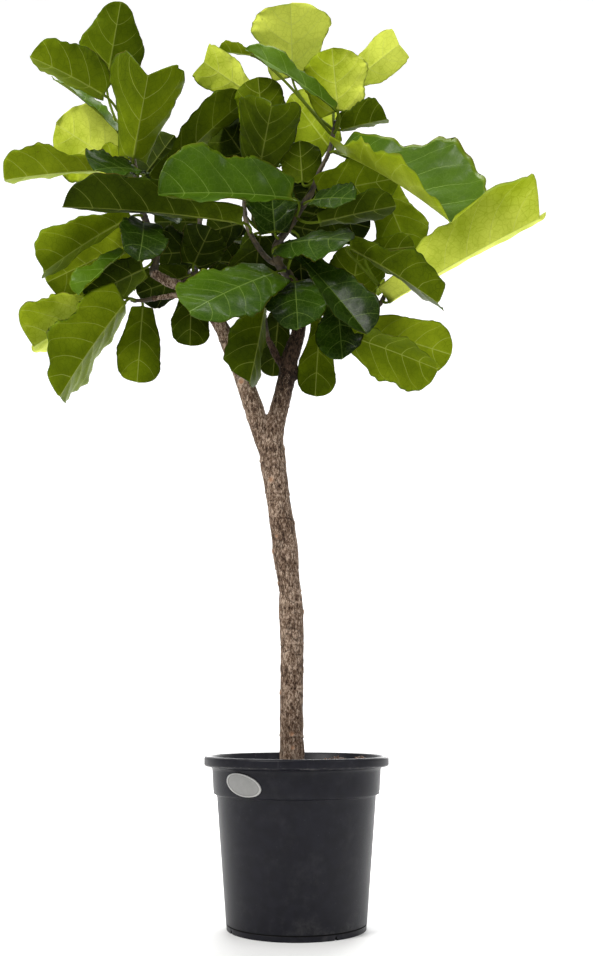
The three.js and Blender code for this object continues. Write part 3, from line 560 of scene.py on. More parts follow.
# Each stem has its radius at foot and tip, what its leaves are turned from, its bud's length and its path of
# x, z, depth. Each leaf row is the blade's base and tip as x, z, depth, then its width, the turn of its upper
# face, the bend of its midrib and the rise of its halves in degrees, how oval it is and how light. How light
# is painted light and shade: high for light through the blade, low for painted shade deep in the crown.
shoots = {
    "left": {
        "radius": (8.5, 4.5), "toSky": False, "bud": 13,
        "path": [
            (-282, 1244, 0), (-279, 1290, 12), (-292, 1335, 18), (-305, 1370, 16),
            (-316, 1425, 10), (-326, 1478, 4), (-334, 1512, 0),
        ],
        "leaves": [
            (-302, 1254, -6, -416, 1192, -30, 109, 156, 10, 14, 0.5, 0.2),
            (-322, 1312, 34, -492, 1226, 30, 150, 176, 8, 6, 0.8, 0.6),
            (-338, 1290, -45, -430, 1200, -95, 84, 64, 12, 20, 0.3, 0.45),
            (-330, 1362, -5, -497, 1249, -62, 122, 140, 14, 28, -0.3, 0.46),
            (-304, 1350, -30, -312, 1270, -135, 98, -8, 30, 12, 0.7, 0.12),
            (-290, 1378, 25, -232, 1362, 60, 70, -40, 10, 20, 0.5, 0.15),
            (-318, 1462, -22, -403, 1462, -120, 118, 66, 18, 10, 0.5, 0.15),
            (-388, 1462, -25, -584, 1441, -70, 124, 128, 10, 25, 0.1, 0.66),
            (-362, 1478, 90, -484, 1560, 84, 168, 178, 10, 8, 1, 0.92),
            (-279, 1431, 22, -96, 1619, -15, 118, 234, 14, 15, 0.3, 0.35),
            (-306, 1448, 55, -246, 1536, 95, 95, 175, 5, 10, 0.7, 0.2),
            (-338, 1471, 18, -392, 1502, 26, 55, 150, 5, 10, 0.6, 0.7),
            (-356, 1541, 8, -493, 1658, 38, 84, 76, 14, 12, 0.4, 0.5),
            (-390, 1624, -46, -542, 1707, -112, 113, 140, 15, 26, 1.3, 0.5),
            (-327, 1488, -18, -301, 1667, -140, 190, 180, 18, 34, -0.6, 0.48),
            (-384, 1655, 64, -360, 1829, -16, 106, 180, 20, 12, 1.8, 0.42),
        ],
    },
    "left_low": {
        "radius": (4.5, 3.2), "toSky": False, "bud": 10,
        "path": [
            (-284, 1192, 2), (-300, 1189, 4), (-318, 1188, 2),
        ],
        "leaves": [
            (-302, 1176, 10, -310, 1022, -10, 96, 180, -10, 14, 0.5, 0.42),
            (-338, 1184, -30, -460, 994, -95, 174, 128, 10, 16, 0.8, 0.5),
            (-358, 1188, -27, -514, 1095, -52, 154, 133, 5, 24, -0.3, 0.9),
        ],
    },
    "knob": {
        "radius": (7, 4), "toSky": False, "bud": 10,
        "path": [
            (-205, 1226, 14), (-201, 1244, 34), (-196, 1290, 60), (-192, 1350, 70),
            (-196, 1395, 86),
        ],
        "leaves": [
            (-207, 1212, 45, -208, 1096, 40, 84, 180, -6, 10, 0.5, 0.2),
            (-190, 1212, 78, -116, 1238, 78, 75, 190, 6, 12, 0.6, 0.1),
            (-214, 1240, 44, -314, 1203, 66, 88, 176, 6, 10, 0.6, 0.1),
            (-203, 1264, 20, -170, 1340, 6, 100, 180, 6, 10, 0.6, 0.08),
            (-200, 1290, 95, -276, 1284, 110, 109, 170, 6, 10, 0.6, 0.1),
            (-196, 1352, 110, -282, 1352, 140, 90, 150, 6, 10, 0.6, 0.2),
        ],
    },
    "twig": {
        "radius": (5, 3.5), "toSky": False, "bud": 10,
        "path": [
            (-57, 1111, 0), (-62, 1150, 14), (-66, 1185, 22),
        ],
        "leaves": [
            (-62, 1192, -42, -92, 1022, -85, 126, 137, -8, 26, 0.4, 0.3),
            (-34, 1162, 60, -46, 1034, 52, 78, 180, -5, 8, 0.5, 0.12),
            (-78, 1262, 95, -178, 1272, 115, 90, 165, 5, 10, 0.6, 0.1),
        ],
    },
    "centre_left": {
        "radius": (6, 3.5), "toSky": False, "bud": 10,
        "path": [
            (-38, 1264, 1), (-54, 1272, 3), (-74, 1296, 4), (-95, 1336, 6), (-104, 1385, 20),
            (-98, 1440, 26), (-88, 1500, 24), (-80, 1545, 24),
        ],
        "leaves": [
            (-110, 1350, -40, -466, 1384, -130, 138, 127, 10, 27, 0.3, 0.25),
            (-108, 1350, 40, -178, 1330, 60, 80, 180, 5, 10, 0.6, 0.08),
            (-75, 1460, -35, -50, 1600, -175, 152, 180, 16, 28, 0.7, 0.27),
            (-66, 1540, -20, -78, 1662, -55, 104, 180, 8, 8, 0.8, 0.45),
            (-72, 1322, 20, -84, 1222, 34, 112, 180, 8, 10, 0.6, 0.08),
            (-60, 1340, 66, -24, 1440, 110, 109, 180, 8, 10, 0.6, 0.1),
            (-96, 1478, 36, -172, 1592, 64, 104, 172, 8, 10, 0.6, 0.12),
            (-86, 1620, 10, -188, 1695, -8, 86, 175, 8, 8, -0.8, 0.9),
        ],
    },
    "centre": {
        "radius": (9.6, 6), "toSky": False, "bud": 0,
        "path": [
            (-7, 1224, 4), (-16, 1241, 3), (-34, 1262, 0), (-41, 1298, -2), (-22, 1330, -2),
            (-2, 1362, 0), (14, 1389, 2), (31, 1414, 2),
        ],
        "leaves": [
            (-42, 1246, -62, -210, 1166, -200, 158, 44, 12, 0, 0.5, 0.36),
            (-3, 1226, -46, 3, 1130, -122, 118, 0, 26, 8, 0.9, 0.13),
            (5, 1282, -50, 138, 1120, -150, 112, -30, 12, 30, -0.2, 0.15),
            (-34, 1302, -60, 106, 1314, -150, 118, -64, 20, -8, 0.6, 0.17),
            (-43, 1330, -20, -52, 1438, -22, 104, 0, -15, 8, 0.8, 0.08),
            (-10, 1345, 10, 66, 1325, 30, 60, 180, 5, 8, 0.6, 0.08),
            (6, 1376, 66, 146, 1340, 84, 98, 190, 5, 8, 0.6, 0.1),
            (45, 1352, -30, 198, 1386, -60, 82, 215, 5, 20, 0.4, 0.25),
            (34, 1398, -40, 116, 1400, -110, 72, -50, 18, 8, 0.6, 0.2),
            (6, 1312, 22, 10, 1222, 30, 90, 180, 8, 10, 0.6, 0.08),
            (-10, 1402, -58, -276, 1410, -135, 175, 47, 14, 28, 0.5, 0.42),
        ],
    },
    "top": {
        "radius": (5.2, 3.5), "toSky": False, "bud": 10,
        "path": [
            (29, 1411, 2), (36, 1430, 1), (43, 1451, 0), (54, 1475, -2), (63, 1494, -2),
            (72, 1530, -2), (78, 1562, 0),
        ],
        "leaves": [
            (38, 1444, 32, 10, 1394, 22, 64, 180, 6, 6, 0.7, 0.1),
            (44, 1412, 8, 206, 1446, 10, 128, 205, 5, 12, 0.6, 0.48),
            (12, 1436, 24, 6, 1524, 18, 94, 180, 5, 10, 0.8, 0.3),
            (66, 1510, 50, -12, 1622, 88, 117, 180, 8, 8, 0.8, 0.72),
            (86, 1501, -18, 307, 1351, -205, 238, -63, 12, 36, -0.5, 0.74),
            (169, 1432, 64, 224, 1286, 62, 117, 180, 6, 10, 0.4, 0.56),
            (91, 1548, 10, 183, 1571, -28, 98, 230, 8, 25, 0.6, 0.38),
            (98, 1640, 48, 209, 1734, 32, 86, 180, 8, 10, -0.7, 0.9),
            (84, 1588, -18, 72, 1726, -62, 134, 182, 8, 6, 0.9, 0.8),
            (-8, 1662, 70, -12, 1826, -50, 164, 180, 8, 8, 0.55, 1.1),
            (78, 1592, -40, -104, 1723, -110, 88, 66, 12, 15, 0.3, 0.5),
            (-92, 1710, 20, -160, 1720, 0, 46, 130, 6, 28, 0.5, 0.6),
        ],
    },
    "right": {
        "radius": (7, 4), "toSky": False, "bud": 10,
        "path": [
            (60, 1084, 28), (100, 1122, 26), (138, 1157, 18), (166, 1184, 6), (176, 1206, 2),
        ],
        "leaves": [
            (46, 1154, -6, 36, 994, -20, 80, 180, -8, 10, 0.1, 0.4),
            (82, 1190, -34, 90, 1070, -70, 98, 15, 10, 10, 0.5, 0.1),
            (118, 1112, -62, 276, 1049, -112, 133, 222, 6, -18, 0.8, 0.5),
            (140, 1130, -14, 302, 1078, -44, 104, 185, 6, 6, 0.6, 0.68),
            (108, 1190, 44, 124, 1302, 24, 118, 180, 8, 8, 0.9, 0.35),
            (106, 1298, -60, 278, 1184, -150, 120, 236, 10, 20, -0.4, 0.31),
            (150, 1292, -8, 234, 1300, -30, 58, 190, 5, 8, 0.7, 0.4),
            (182, 1186, -10, 483, 1360, -90, 185, 220, 8, 40, -0.9, 0.94),
        ],
    },
    "back_left": {
        "radius": (8, 4), "toSky": True, "bud": 10,
        "path": [
            (-150, 1138, 8), (-166, 1160, 58), (-190, 1200, 115), (-220, 1262, 170),
            (-242, 1325, 222), (-250, 1380, 260),
        ],
        "leaves": [
            (-224, 1226, 150, -318, 1212, 205, 130, -15, 20, 15, 0.4, 0.45),
            (-160, 1240, 150, -110, 1215, 240, 125, 10, 20, 15, 0.4, 0.25),
            (-225, 1270, 200, -225, 1250, 330, 150, 0, 25, 15, 0.4, 0.45),
            (-205, 1320, 250, -130, 1320, 330, 135, 15, 20, 15, 0.5, 0.45),
            (-250, 1370, 280, -300, 1380, 400, 160, -5, 30, 18, 0.4, 0.45),
            (-255, 1385, 240, -350, 1440, 230, 140, -25, 20, 18, 0.5, 0.25),
            (-240, 1400, 300, -185, 1440, 375, 140, 20, 20, 18, 0.5, 0.7),
        ],
    },
    "back_right": {
        "radius": (8, 4), "toSky": True, "bud": 10,
        "path": [
            (5, 1145, 4), (18, 1162, 45), (42, 1195, 95), (80, 1240, 160), (110, 1300, 220),
            (120, 1360, 260),
        ],
        "leaves": [
            (20, 1205, 120, -40, 1190, 200, 125, -15, 20, 15, 0.4, 0.25),
            (85, 1215, 130, 160, 1200, 170, 125, 15, 20, 15, 0.4, 0.45),
            (80, 1240, 200, 85, 1225, 330, 150, 0, 25, 15, 0.4, 0.45),
            (135, 1275, 180, 220, 1290, 230, 135, 20, 20, 15, 0.5, 0.25),
            (95, 1310, 250, 30, 1330, 320, 135, -15, 20, 15, 0.5, 0.45),
            (120, 1350, 280, 150, 1370, 400, 155, 5, 30, 18, 0.4, 0.45),
            (135, 1365, 240, 185, 1405, 240, 120, 25, 20, 18, 0.5, 0.25),
            (110, 1385, 300, 60, 1440, 365, 140, -20, 20, 18, 0.5, 0.7),
        ],
    },
    "back_centre": {
        "radius": (7, 4), "toSky": True, "bud": 10,
        "path": [
            (3, 1166, 4), (1, 1190, 44), (-18, 1245, 84), (-50, 1350, 120), (-58, 1420, 150),
            (-55, 1490, 165),
        ],
        "leaves": [
            (-60, 1310, 120, -120, 1290, 190, 120, -15, 20, 15, 0.4, 0.25),
            (-25, 1350, 140, 20, 1330, 220, 120, 15, 20, 15, 0.4, 0.45),
            (-55, 1400, 170, -70, 1385, 300, 145, 0, 25, 15, 0.4, 0.25),
            (-80, 1450, 150, -180, 1450, 190, 120, -20, 20, 15, 0.5, 0.45),
            (-35, 1470, 170, 20, 1470, 260, 125, 15, 20, 15, 0.5, 0.45),
            (-60, 1500, 180, -90, 1540, 290, 140, -5, 25, 15, 0.5, 0.7),
        ],
    },
}


# Colours of a blade from dark to light, as stops of its upper face and underside, of its veins, stalk and
# blemishes, and of the stem.
leafColours = {
    "upper": [(0, (0.003, 0.009, 0.0003)), (0.3, (0.022, 0.056, 0.001)), (0.6, (0.072, 0.145, 0.003)),
              (1, (0.190, 0.290, 0.014))],
    "under": [(0, (0.004, 0.008, 0.0002)), (0.25, (0.036, 0.056, 0.0006)), (0.5, (0.112, 0.158, 0.002)),
              (0.75, (0.265, 0.335, 0.010)), (1, (0.640, 0.700, 0.095))],
    "veinUpper": (0.300, 0.430, 0.090),
    "veinUnder": (0.520, 0.580, 0.130),
    "stalk": (0.085, 0.120, 0.008),
    "fleck": (0.090, 0.060, 0.012),
    "rust": (0.150, 0.085, 0.016),
    "stemDark": (0.018, 0.012, 0.006),
    "stemLight": (0.070, 0.050, 0.022),
    "stemPore": (0.16, 0.13, 0.07),
}


# Blade finish: side veins from the vein mark, the midrib from the distance to it, and between them a net of
# small veins in cells of two sizes. The upper face is waxy with sunken veins, the underside matt with raised
# ones. Light that comes through a blade is painted in: the lighter its tone mark, the yellower and paler it
# is, though an upper face stays darker than the underside of the same blade. Shade is painted in by the same
# mark: blades deep in the crown have a low tone and come out nearly black.
def leafRecipe(start):
    colours = leafColours
    under, blade, tone = start.mark("under"), start.mark("blade"), start.mark("tone")
    outward, down = start.mark("outward"), start.mark("down")
    along, across, odd = start.mark("alongLeaf"), start.mark("acrossLeaf"), start.mark("odd")
    fromRib = start.mark("fromRib")
    flat = start.node("CombineXYZ", sockets={"X": along, "Y": across, "Z": odd * 9})
    wander = start.noise(flat, 45, 2)
    shift = wander * 0.008
    bent = start.node("CombineXYZ", sockets={"X": along + shift, "Y": across + shift, "Z": odd * 9})
    vein = start.mark("vein") + wander * 0.10
    toVein = vein.math("PINGPONG", vein, 0.5) * start.mark("gap")
    side = (toVein / (0.0010 - outward * 0.0006)).step(1.3, 0.35)
    rib = (fromRib / (0.0017 - down * 0.0009)).step(1.25, 0.6)
    net = start.cells(bent, 85, "DISTANCE_TO_EDGE").step(0.085, 0.0)
    fine = start.cells(bent, 250, "DISTANCE_TO_EDGE").step(0.12, 0.0)
    veins = side.math("MAXIMUM", side, rib) * blade
    halo = (toVein / 0.006).step(1.4, 0.2) * 0.5 + (fromRib / 0.008).step(1.4, 0.2) * 0.5
    patches = start.noise(flat, 13, 3).step(0.25, 0.75)
    mottle = start.noise(flat, 60, 4)
    pores = start.noise(flat, 900, 2)

    slope = across * (odd - 0.5) * 5 + (down - 0.5) * odd.math("SINE", odd * 37) * 0.14
    # painted light and shade: the tone mark sets the painted light through the blade, or the painted shade
    # deep in the crown
    level = tone + slope + (patches - 0.5) * 0.13 + (mottle - 0.5) * 0.08 + halo * 0.04
    level = level.node("Clamp", sockets={"Value": level})
    upper = (level - tone.step(0.55, 0.75) * 0.25).ramp(colours["upper"])
    upper = (net * 0.05 + fine * 0.03).tint(upper, colours["veinUpper"])
    upper = (veins * (tone * 0.4 + 0.16)).tint(upper, colours["veinUpper"])
    lower = level.ramp(colours["under"])
    between = (level - 0.11).ramp(colours["under"])
    lower = (net * 0.45 + fine * 0.25 + mottle * 0.12).tint(lower, between)
    lower = (veins * (tone * 0.42 + 0.08)).tint(lower, colours["veinUnder"])
    face = under.tint(upper, lower)
    flecks = start.cells(flat, 34).step(0.08, 0.04) * start.noise(flat, 6, 1).step(0.55, 0.7)
    face = (flecks * 0.5).tint(face, colours["fleck"])
    edge = outward.step(0.965, 1.0) * start.noise(flat, 22, 3).step(0.42, 0.62)
    face = (edge * 0.5 * blade).tint(face, colours["rust"])
    colour = blade.tint(colours["stalk"], face)

    smear = start.noise(flat, 30, 4)
    gloss = under.step(0.9, 0.1) * blade
    raised = under * 2 - 1
    relief = (veins * raised * 0.00035 + (net * 0.00012 + fine * 0.00005) * raised + pores * 0.00002
              + smear * 0.0002) * blade
    return {
        "Base Color": colour,
        "Roughness": 0.60 - gloss * 0.16 + smear * 0.10,
        "Coat Weight": gloss * (0.28 - smear * 0.38),
        "Coat Roughness": 0.19,
        "Specular IOR Level": 0.03,
        "relief": relief,
    }


# Young bark finish: green-brown and smooth with pale pores, browner in patches.
def youngBarkRecipe(start):
    where = start.place()
    patch = start.noise(where, 60, 4)
    colour = patch.step(0.35, 0.65).tint(leafColours["stemDark"], leafColours["stemLight"])
    pore = start.cells(where, 260).step(0.22, 0.1)
    colour = (pore * 0.5).tint(colour, leafColours["stemPore"])
    return {
        "Base Color": colour,
        "Roughness": 0.6 + patch * 0.15,
        "relief": patch * 0.0006 + pore * 0.0002 + start.noise(where, 420, 3) * 0.0002,
    }


# Each leafy stem is a piece of its own. The wave of every leaf starts a little later than the last one's.
def buildShoots(materials):
    number = 0
    for name, shoot in shoots.items():
        path = seen(shoot["path"])
        leaves = [leafFrame(row, shoot["toSky"]) for row in shoot["leaves"]]
        roots = leafRoots(path, leaves)
        skins = []
        for i, (leaf, root) in enumerate(zip(leaves, roots)):
            skins.append(leafSkin(leaf, 0.37 * i % 1, root, number))
            number += 1
        bare = stemSkin(shoot, path, roots)
        bare["marks"] = {mark: np.zeros(len(bare["points"])) for mark in skins[0]["marks"]}
        buildPiece("shoot_" + name, skins + [bare], materials, ["leafy_stem_" + name])
    print("leaves:", number, "on", len(shoots), "shoots")


buildShoots([makeMaterial("fig leaf", leafRecipe), makeMaterial("young bark", youngBarkRecipe)])


# trunk

# Path rows are x, z, depth, radius.
trunk = {
    "main": [
        (-8, 222, 0, 22), (-8, 300, 0, 22), (-9, 370, 0, 21.8), (-9, 435, 0, 21.2), (-8, 506, 0, 21.6),
        (-10, 572, 0, 22.8), (-13, 616, 0, 21), (-17, 650, 0, 21.6), (-21, 688, 0, 24.2),
        (-27, 740, 0, 23.2), (-33, 780, 0, 22.6), (-40, 824, 0, 23.6), (-46, 875, 0, 25),
        (-47, 912, 0, 21.8), (-34, 965, 0, 18.2), (-20, 1027, 0, 17.5), (-13, 1069, 0, 16.5),
        (4, 1126, 0, 14), (4, 1180, 4, 12.5), (-10, 1231, 4, 11.5),
    ],
    "leftLimb": [
        (-50, 868, 0, 17), (-67, 920, 0, 19.2), (-83, 970, 0, 18.6), (-102, 1027, 0, 17.4),
        (-127, 1087, 0, 16), (-150, 1140, 0, 15), (-180, 1180, 4, 14.5), (-204, 1210, 4, 15),
    ],
    "leftArm": [(-204, 1206, 4, 11), (-228, 1218, 3, 10), (-250, 1226, 2, 9.5), (-284, 1246, 0, 9.5)],
    "sideTwig": [(-206, 1204, 4, 6), (-250, 1197, 3, 5.2), (-286, 1192, 2, 5.2)],
    "forkTwig": [(-30, 1056, 0, 7), (-44, 1084, 0, 6.4), (-58, 1114, 0, 6)],
    "rightTwig": [(-14, 1032, 0, 11), (20, 1048, 8, 10), (42, 1066, 20, 8.6), (62, 1086, 29, 8)],
}

bark = {
    "knob": ((-206, 1212, 4), 24),  # where the left limb was once cut back
    "sides": 32,
    "knobRings": 24,
    "cell": 2.0,  # of the mesh
    "smoothing": (0.6, 6),  # strength and rounds, before the relief is raised
    "rings": [341, 428, 512, 560, 608, 652, 696, 752, 800, 860, 968, 1046, 1100],  # heights of old leaf rings
    "ringDepth": 1.1,
    "scarLip": 1.6,
    "scarDepth": 1.0,
    "scars": [  # x, z, depth, radius: where small branches were taken off
        (-47, 828, -18, 7), (-106, 1023, -14, 6), (-37, 719, -18, 3.5), (-9, 347, -21, 4.5),
        (-7, 322, -21, 4), (-8, 640, 16, 6), (-30, 760, 17, 7), (-4, 470, 19, 5), (6, 1090, 12, 6),
        (-60, 930, 14, 6),
        (-22, 892, -4, 4), (-3, 746, -4, 4), (14, 575, -4, 3.5), (13, 466, -3, 4), (-30, 424, -4, 4.5),
        (-36, 628, -6, 3.5), (-45, 690, -8, 4.5),
    ],
    "grain": 0.7,  # height of the fissures
}


# Height of the bark over the plain limb: long fissures, broad swellings, the old rings and the round scars,
# each a raised lip round a sunken middle. Also returns 1 on the scars and 0 off them.
def barkRelief(points):
    stretched = points * [1, 1, 0.3]
    height = bark["grain"] * (lumps(stretched, 4.5, 11) + 0.6 * lumps(stretched, 2.3, 12))
    height += 1.0 * lumps(points, 34, 13) + 0.5 * lumps(points, 13, 14)
    wobble = 5 * lumps(points, 40, 15)
    broken = np.clip(0.5 + lumps(points, 16, 17), 0, 1)
    for ring in bark["rings"]:
        away = points[:, 2] + wobble - ring
        profile = np.exp(-((away - 3) / 2.4) ** 2) - 1.1 * np.exp(-(away / 1.6) ** 2)
        height += broken * bark["ringDepth"] * profile
    healed = np.zeros(len(points))
    for scar in bark["scars"]:
        away = np.linalg.norm(points - seen(scar[:3]), axis=1) / scar[3]
        height += bark["scarLip"] * np.exp(-((away - 1) / 0.3) ** 2)
        height -= bark["scarDepth"] * np.exp(-(away / 0.6) ** 2)
        healed = np.maximum(healed, np.exp(-(away / 0.9) ** 4))
    return height, healed


# Rods along the paths and the knob's ball are melted into one skin, and the bark is raised along its normals.
def buildTrunk(material):
    sides = bark["sides"]
    skins = []
    for rows in trunk.values():
        rows = np.array(rows, float)
        count = 6 * len(rows)
        along = np.linspace(0, len(rows) - 1, count + 1)
        radii = np.interp(along, np.arange(len(rows)), rows[:, 3])
        skins.append(skin(*rod(smoothPath(seen(rows[:, :3]), count), radii, sides)))
    at, radius = bark["knob"]
    height = np.linspace(-0.97, 0.97, bark["knobRings"])
    ball = seen(at) + np.array([0, 0, 1]) * height[:, None] * radius
    skins.append(skin(*rod(ball, radius * np.sqrt(1 - height ** 2), sides)))
    piece = buildPiece("trunk_bark", skins, [], ["trunk"])
    melt = piece.modifiers.new("melt", "REMESH")
    melt.mode, melt.voxel_size = "VOXEL", bark["cell"] * mm
    melt.use_smooth_shade = True
    settle = piece.modifiers.new("ease", "SMOOTH")
    settle.factor, settle.iterations = bark["smoothing"]
    mesh = settleModifiers(piece)
    points = np.empty(3 * len(mesh.vertices), np.float32)
    normals = np.empty_like(points)
    mesh.vertices.foreach_get("co", points)
    mesh.vertex_normals.foreach_get("vector", normals)
    points, normals = points.reshape(-1, 3) / mm, normals.reshape(-1, 3)
    height, healed = barkRelief(points)
    raised = (points + normals * height[:, None]) * mm
    mesh.vertices.foreach_set("co", raised.ravel().astype(np.float32))
    addMark(mesh, "height", height)
    addMark(mesh, "healed", healed)
    mesh.materials.clear()
    mesh.materials.append(material)
    mesh.update()
    mesh.shade_smooth()


barkColours = {
    "groove": (0.020, 0.011, 0.007),
    "skin": (0.130, 0.080, 0.051),
    "pale": (0.440, 0.340, 0.260),
    "limbGrooveAndShade": (0.010, 0.005, 0.003),
    "limbSkinAndShade": (0.085, 0.050, 0.032),
    "scar": (0.420, 0.230, 0.130),
}


# Bark finish: dark in the fissures and pale on the plates by stretched noise and the height mark, in lighter
# and darker lengths, with cracks, pale pores and orange-brown scars. The old wood fades into darker
# red-brown limbs; the same darkening reaches lower on the right side, and there it is painted shade.
def barkRecipe(start):
    colours = barkColours
    where = start.place()
    height = start.mark("height")
    grain = start.noise(start.place((1, 1, 0.4)), 420, 5, 0.75)
    plates = start.noise(start.place((1, 1, 0.45)), 200, 6, 0.8)
    patch = start.noise(where, 30, 4)
    lengths = start.noise(start.place((0.3, 0.3, 1)), 14, 2)
    level = (plates - 0.5) * 5.0 + (grain - 0.5) * 4.0 + (patch - 0.5) * 0.8 + (lengths - 0.5) * 1.4
    level = level + height * 0.22 + 0.58
    colour = level.step(-0.2, 0.55).tint(colours["groove"], colours["skin"])
    colour = level.step(0.45, 1.45).tint(colour, colours["pale"])
    cracks = start.cells(start.place((1, 1, 0.4)), 80, "DISTANCE_TO_EDGE").step(0.06, 0.0)
    cracks = cracks * patch.step(0.42, 0.56)
    colour = (cracks * 0.7).tint(colour, colours["groove"])
    colour = (start.mark("healed") * 0.75).tint(colour, colours["scar"])
    right, up = where.axis("X"), where.axis("Z")
    # darker red-brown upper limbs, and lower down towards the right: that part is painted shade
    darkLimbsAndShade = (up + right * 1.2 + (patch - 0.5) * 0.12).step(0.90, 1.02)
    young = level.step(0.0, 1.4).tint(colours["limbGrooveAndShade"], colours["limbSkinAndShade"])
    colour = darkLimbsAndShade.tint(colour, young)
    pores = start.cells(where, 190).step(0.22, 0.10) * start.noise(where, 35, 2).step(0.48, 0.60)
    colour = (pores * 0.5).tint(colour, colours["pale"])
    return {
        "Base Color": colour,
        "Roughness": 0.90 - grain * 0.1,
        "Specular IOR Level": 0.2,
        "relief": plates * 0.0014 + grain * 0.0008 - cracks * 0.0006 + start.noise(where, 700, 3) * 0.0003,
    }


buildTrunk(makeMaterial("fig bark", barkRecipe))
print("trunk built")


# soil

soil = {
    "top": 289,
    "radius": 151.2,  # of the top
    "floor": 10.4,
    "side": [(60, 10.4), (123.5, 10.4), (142.7, 235.8), (148.6, 242), (151.2, 282)],  # radius and height
    "sides": 160,
    "rings": 74,  # on the top
    "lumps": 3.2,  # height of the clods
    "banks": [(80, 118, 24, 13), (128, 66, 28, 14), (30, 142, 20, 5)],  # x, y, width and height, at the wall
    "crumbs": 520,
    "crumbSize": (2.0, 6.5),
    "crumbReach": 143,  # from the middle
    "fibres": 70,
    "fibreSize": (14, 34),
    "fibreReach": (140, 146),  # of its middle and its ends
    "seed": 7,
    "dark": (0.012, 0.007, 0.005),
    "brown": (0.170, 0.080, 0.042),
    "grit": (0.30, 0.25, 0.19),
}


# Height of the soil's top: a slope to the right, banks, clods of three sizes and a dip at the wall.
def soilHeight(x, y):
    points = np.stack([x, y, 0 * x], -1)
    away = np.hypot(x, y)
    bank = 3 * np.clip((x - 0.6 * y) / 150, -1, 1)
    for bankX, bankY, width, rise in soil["banks"]:
        bank = bank + rise * np.exp(-((x - bankX) ** 2 + (y - bankY) ** 2) / width ** 2)
    clods = soil["lumps"] * crumble(points, 24, 21) + 1.2 * np.abs(lumps(points, 6, 25))
    return soil["top"] - 2.5 + (bank + clods) * ease(away, 154, 140) - 4 * ease(away, 142, 151)


# A plug that fills the pot, with a rough top.
def soilSkin():
    angle = np.linspace(0, 2 * np.pi, soil["sides"], endpoint=False)
    around = np.stack([np.cos(angle), np.sin(angle)], -1)
    rings = [np.concatenate([around * r, np.full((len(angle), 1), z)], 1) for r, z in soil["side"]]
    for r in np.linspace(soil["radius"] - 0.5, 1, soil["rings"]):
        xy = around * r
        rings.append(np.column_stack([xy, soilHeight(xy[:, 0], xy[:, 1])]))
    middle = soilHeight(np.zeros(1), np.zeros(1))[0]
    return skin(np.array(rings), [0, 0, soil["floor"]], [0, 0, middle])


# A random place on a round patch: its distance from the middle, as the root of a draw, and its angle.
def drawPlace(draw, reach):
    away, angle = reach * math.sqrt(draw.random()), draw.random() * 2 * math.pi
    return away * math.cos(angle), away * math.sin(angle)


# Crumbs of bark and peat: small spheres of few faces, squashed and roughened at random, half sunk.
def crumbSkins(draw):
    skins = []
    ring = np.linspace(0, 2 * np.pi, 7, endpoint=False)
    lift = np.array([-0.7, 0, 0.7])
    ball = np.stack([np.cos(lift)[:, None] * np.cos(ring), np.cos(lift)[:, None] * np.sin(ring),
                     np.sin(lift)[:, None] + 0 * ring], -1)
    for _ in range(soil["crumbs"]):
        x, y = drawPlace(draw, soil["crumbReach"])
        size = draw.uniform(*soil["crumbSize"]) * draw.uniform(0.5, 1)
        turn, _ = np.linalg.qr(draw.normal(size=(3, 3)))
        shape = (turn * [1, draw.uniform(0.4, 0.9), draw.uniform(0.25, 0.6)]) @ turn.T
        where = np.array([x, y, soilHeight(np.array([x]), np.array([y]))[0] + 0.25 * size])
        spiked = ball * (1 + draw.uniform(-0.28, 0.28, ball.shape[:2]))[..., None]
        rings = spiked @ shape.T * size + where
        tone = draw.random()
        skins.append(skin(rings, where - shape[:, 2] * size, where + shape[:, 2] * size,
                          tone=np.full(rings.shape[:2], tone)))
    return skins


# Coir fibres: thin bent rods that lie on the soil.
def fibreSkins(draw):
    skins = []
    reach, limit = soil["fibreReach"]
    for _ in range(soil["fibres"]):
        middle = drawPlace(draw, reach)
        heading, length = draw.random() * 2 * math.pi, draw.uniform(*soil["fibreSize"])
        s = np.linspace(-0.5, 0.5, 7)
        curl = draw.uniform(-8, 8) * s ** 2 * 4
        x = middle[0] + length * s * math.cos(heading) - curl * math.sin(heading)
        y = middle[1] + length * s * math.sin(heading) + curl * math.cos(heading)
        shrink = np.minimum(1, limit / np.hypot(x, y))
        x, y = x * shrink, y * shrink
        z = soilHeight(x, y) + 0.8 + draw.uniform(0, 2.5) * (1 - 4 * s ** 2)
        thick = np.full(7, draw.uniform(0.35, 0.7))
        rings, first, last = rod(np.stack([x, y, z], -1), thick, 5, near=(0, 0, 1))
        skins.append(skin(rings, first, last, tone=np.full(rings.shape[:2], draw.uniform(0.5, 1))))
    return skins


# Soil finish: near-black peat to brown bark by the tone mark, mottled and damp in places.
def soilRecipe(start):
    where, tone = start.place(), start.mark("tone")
    patch = start.noise(where, 60, 5)
    speck = start.noise(where, 520, 4, 0.7)
    level = tone * 0.55 + patch * 0.35 + speck * 0.35 - 0.15
    colour = level.step(0.05, 0.95).tint(soil["dark"], soil["brown"])
    grit = start.cells(where, 330).step(0.16, 0.06) * start.noise(where, 90, 2).step(0.55, 0.65)
    colour = (grit * 0.6).tint(colour, soil["grit"])
    return {
        "Base Color": colour,
        "Roughness": 0.95 - patch * 0.15,
        "relief": speck * 0.0012 + patch * 0.0012 + grit * 0.0004,
    }


def buildSoil(material):
    draw = np.random.default_rng(soil["seed"])
    ground = soilSkin()
    ground["marks"] = {"tone": np.full(len(ground["points"]), 0.25)}
    skins = [ground] + crumbSkins(draw) + fibreSkins(draw)
    buildPiece("potting_soil", skins, [material], ["soil"])


buildSoil(makeMaterial("potting soil", soilRecipe))
print("soil built")


# pot

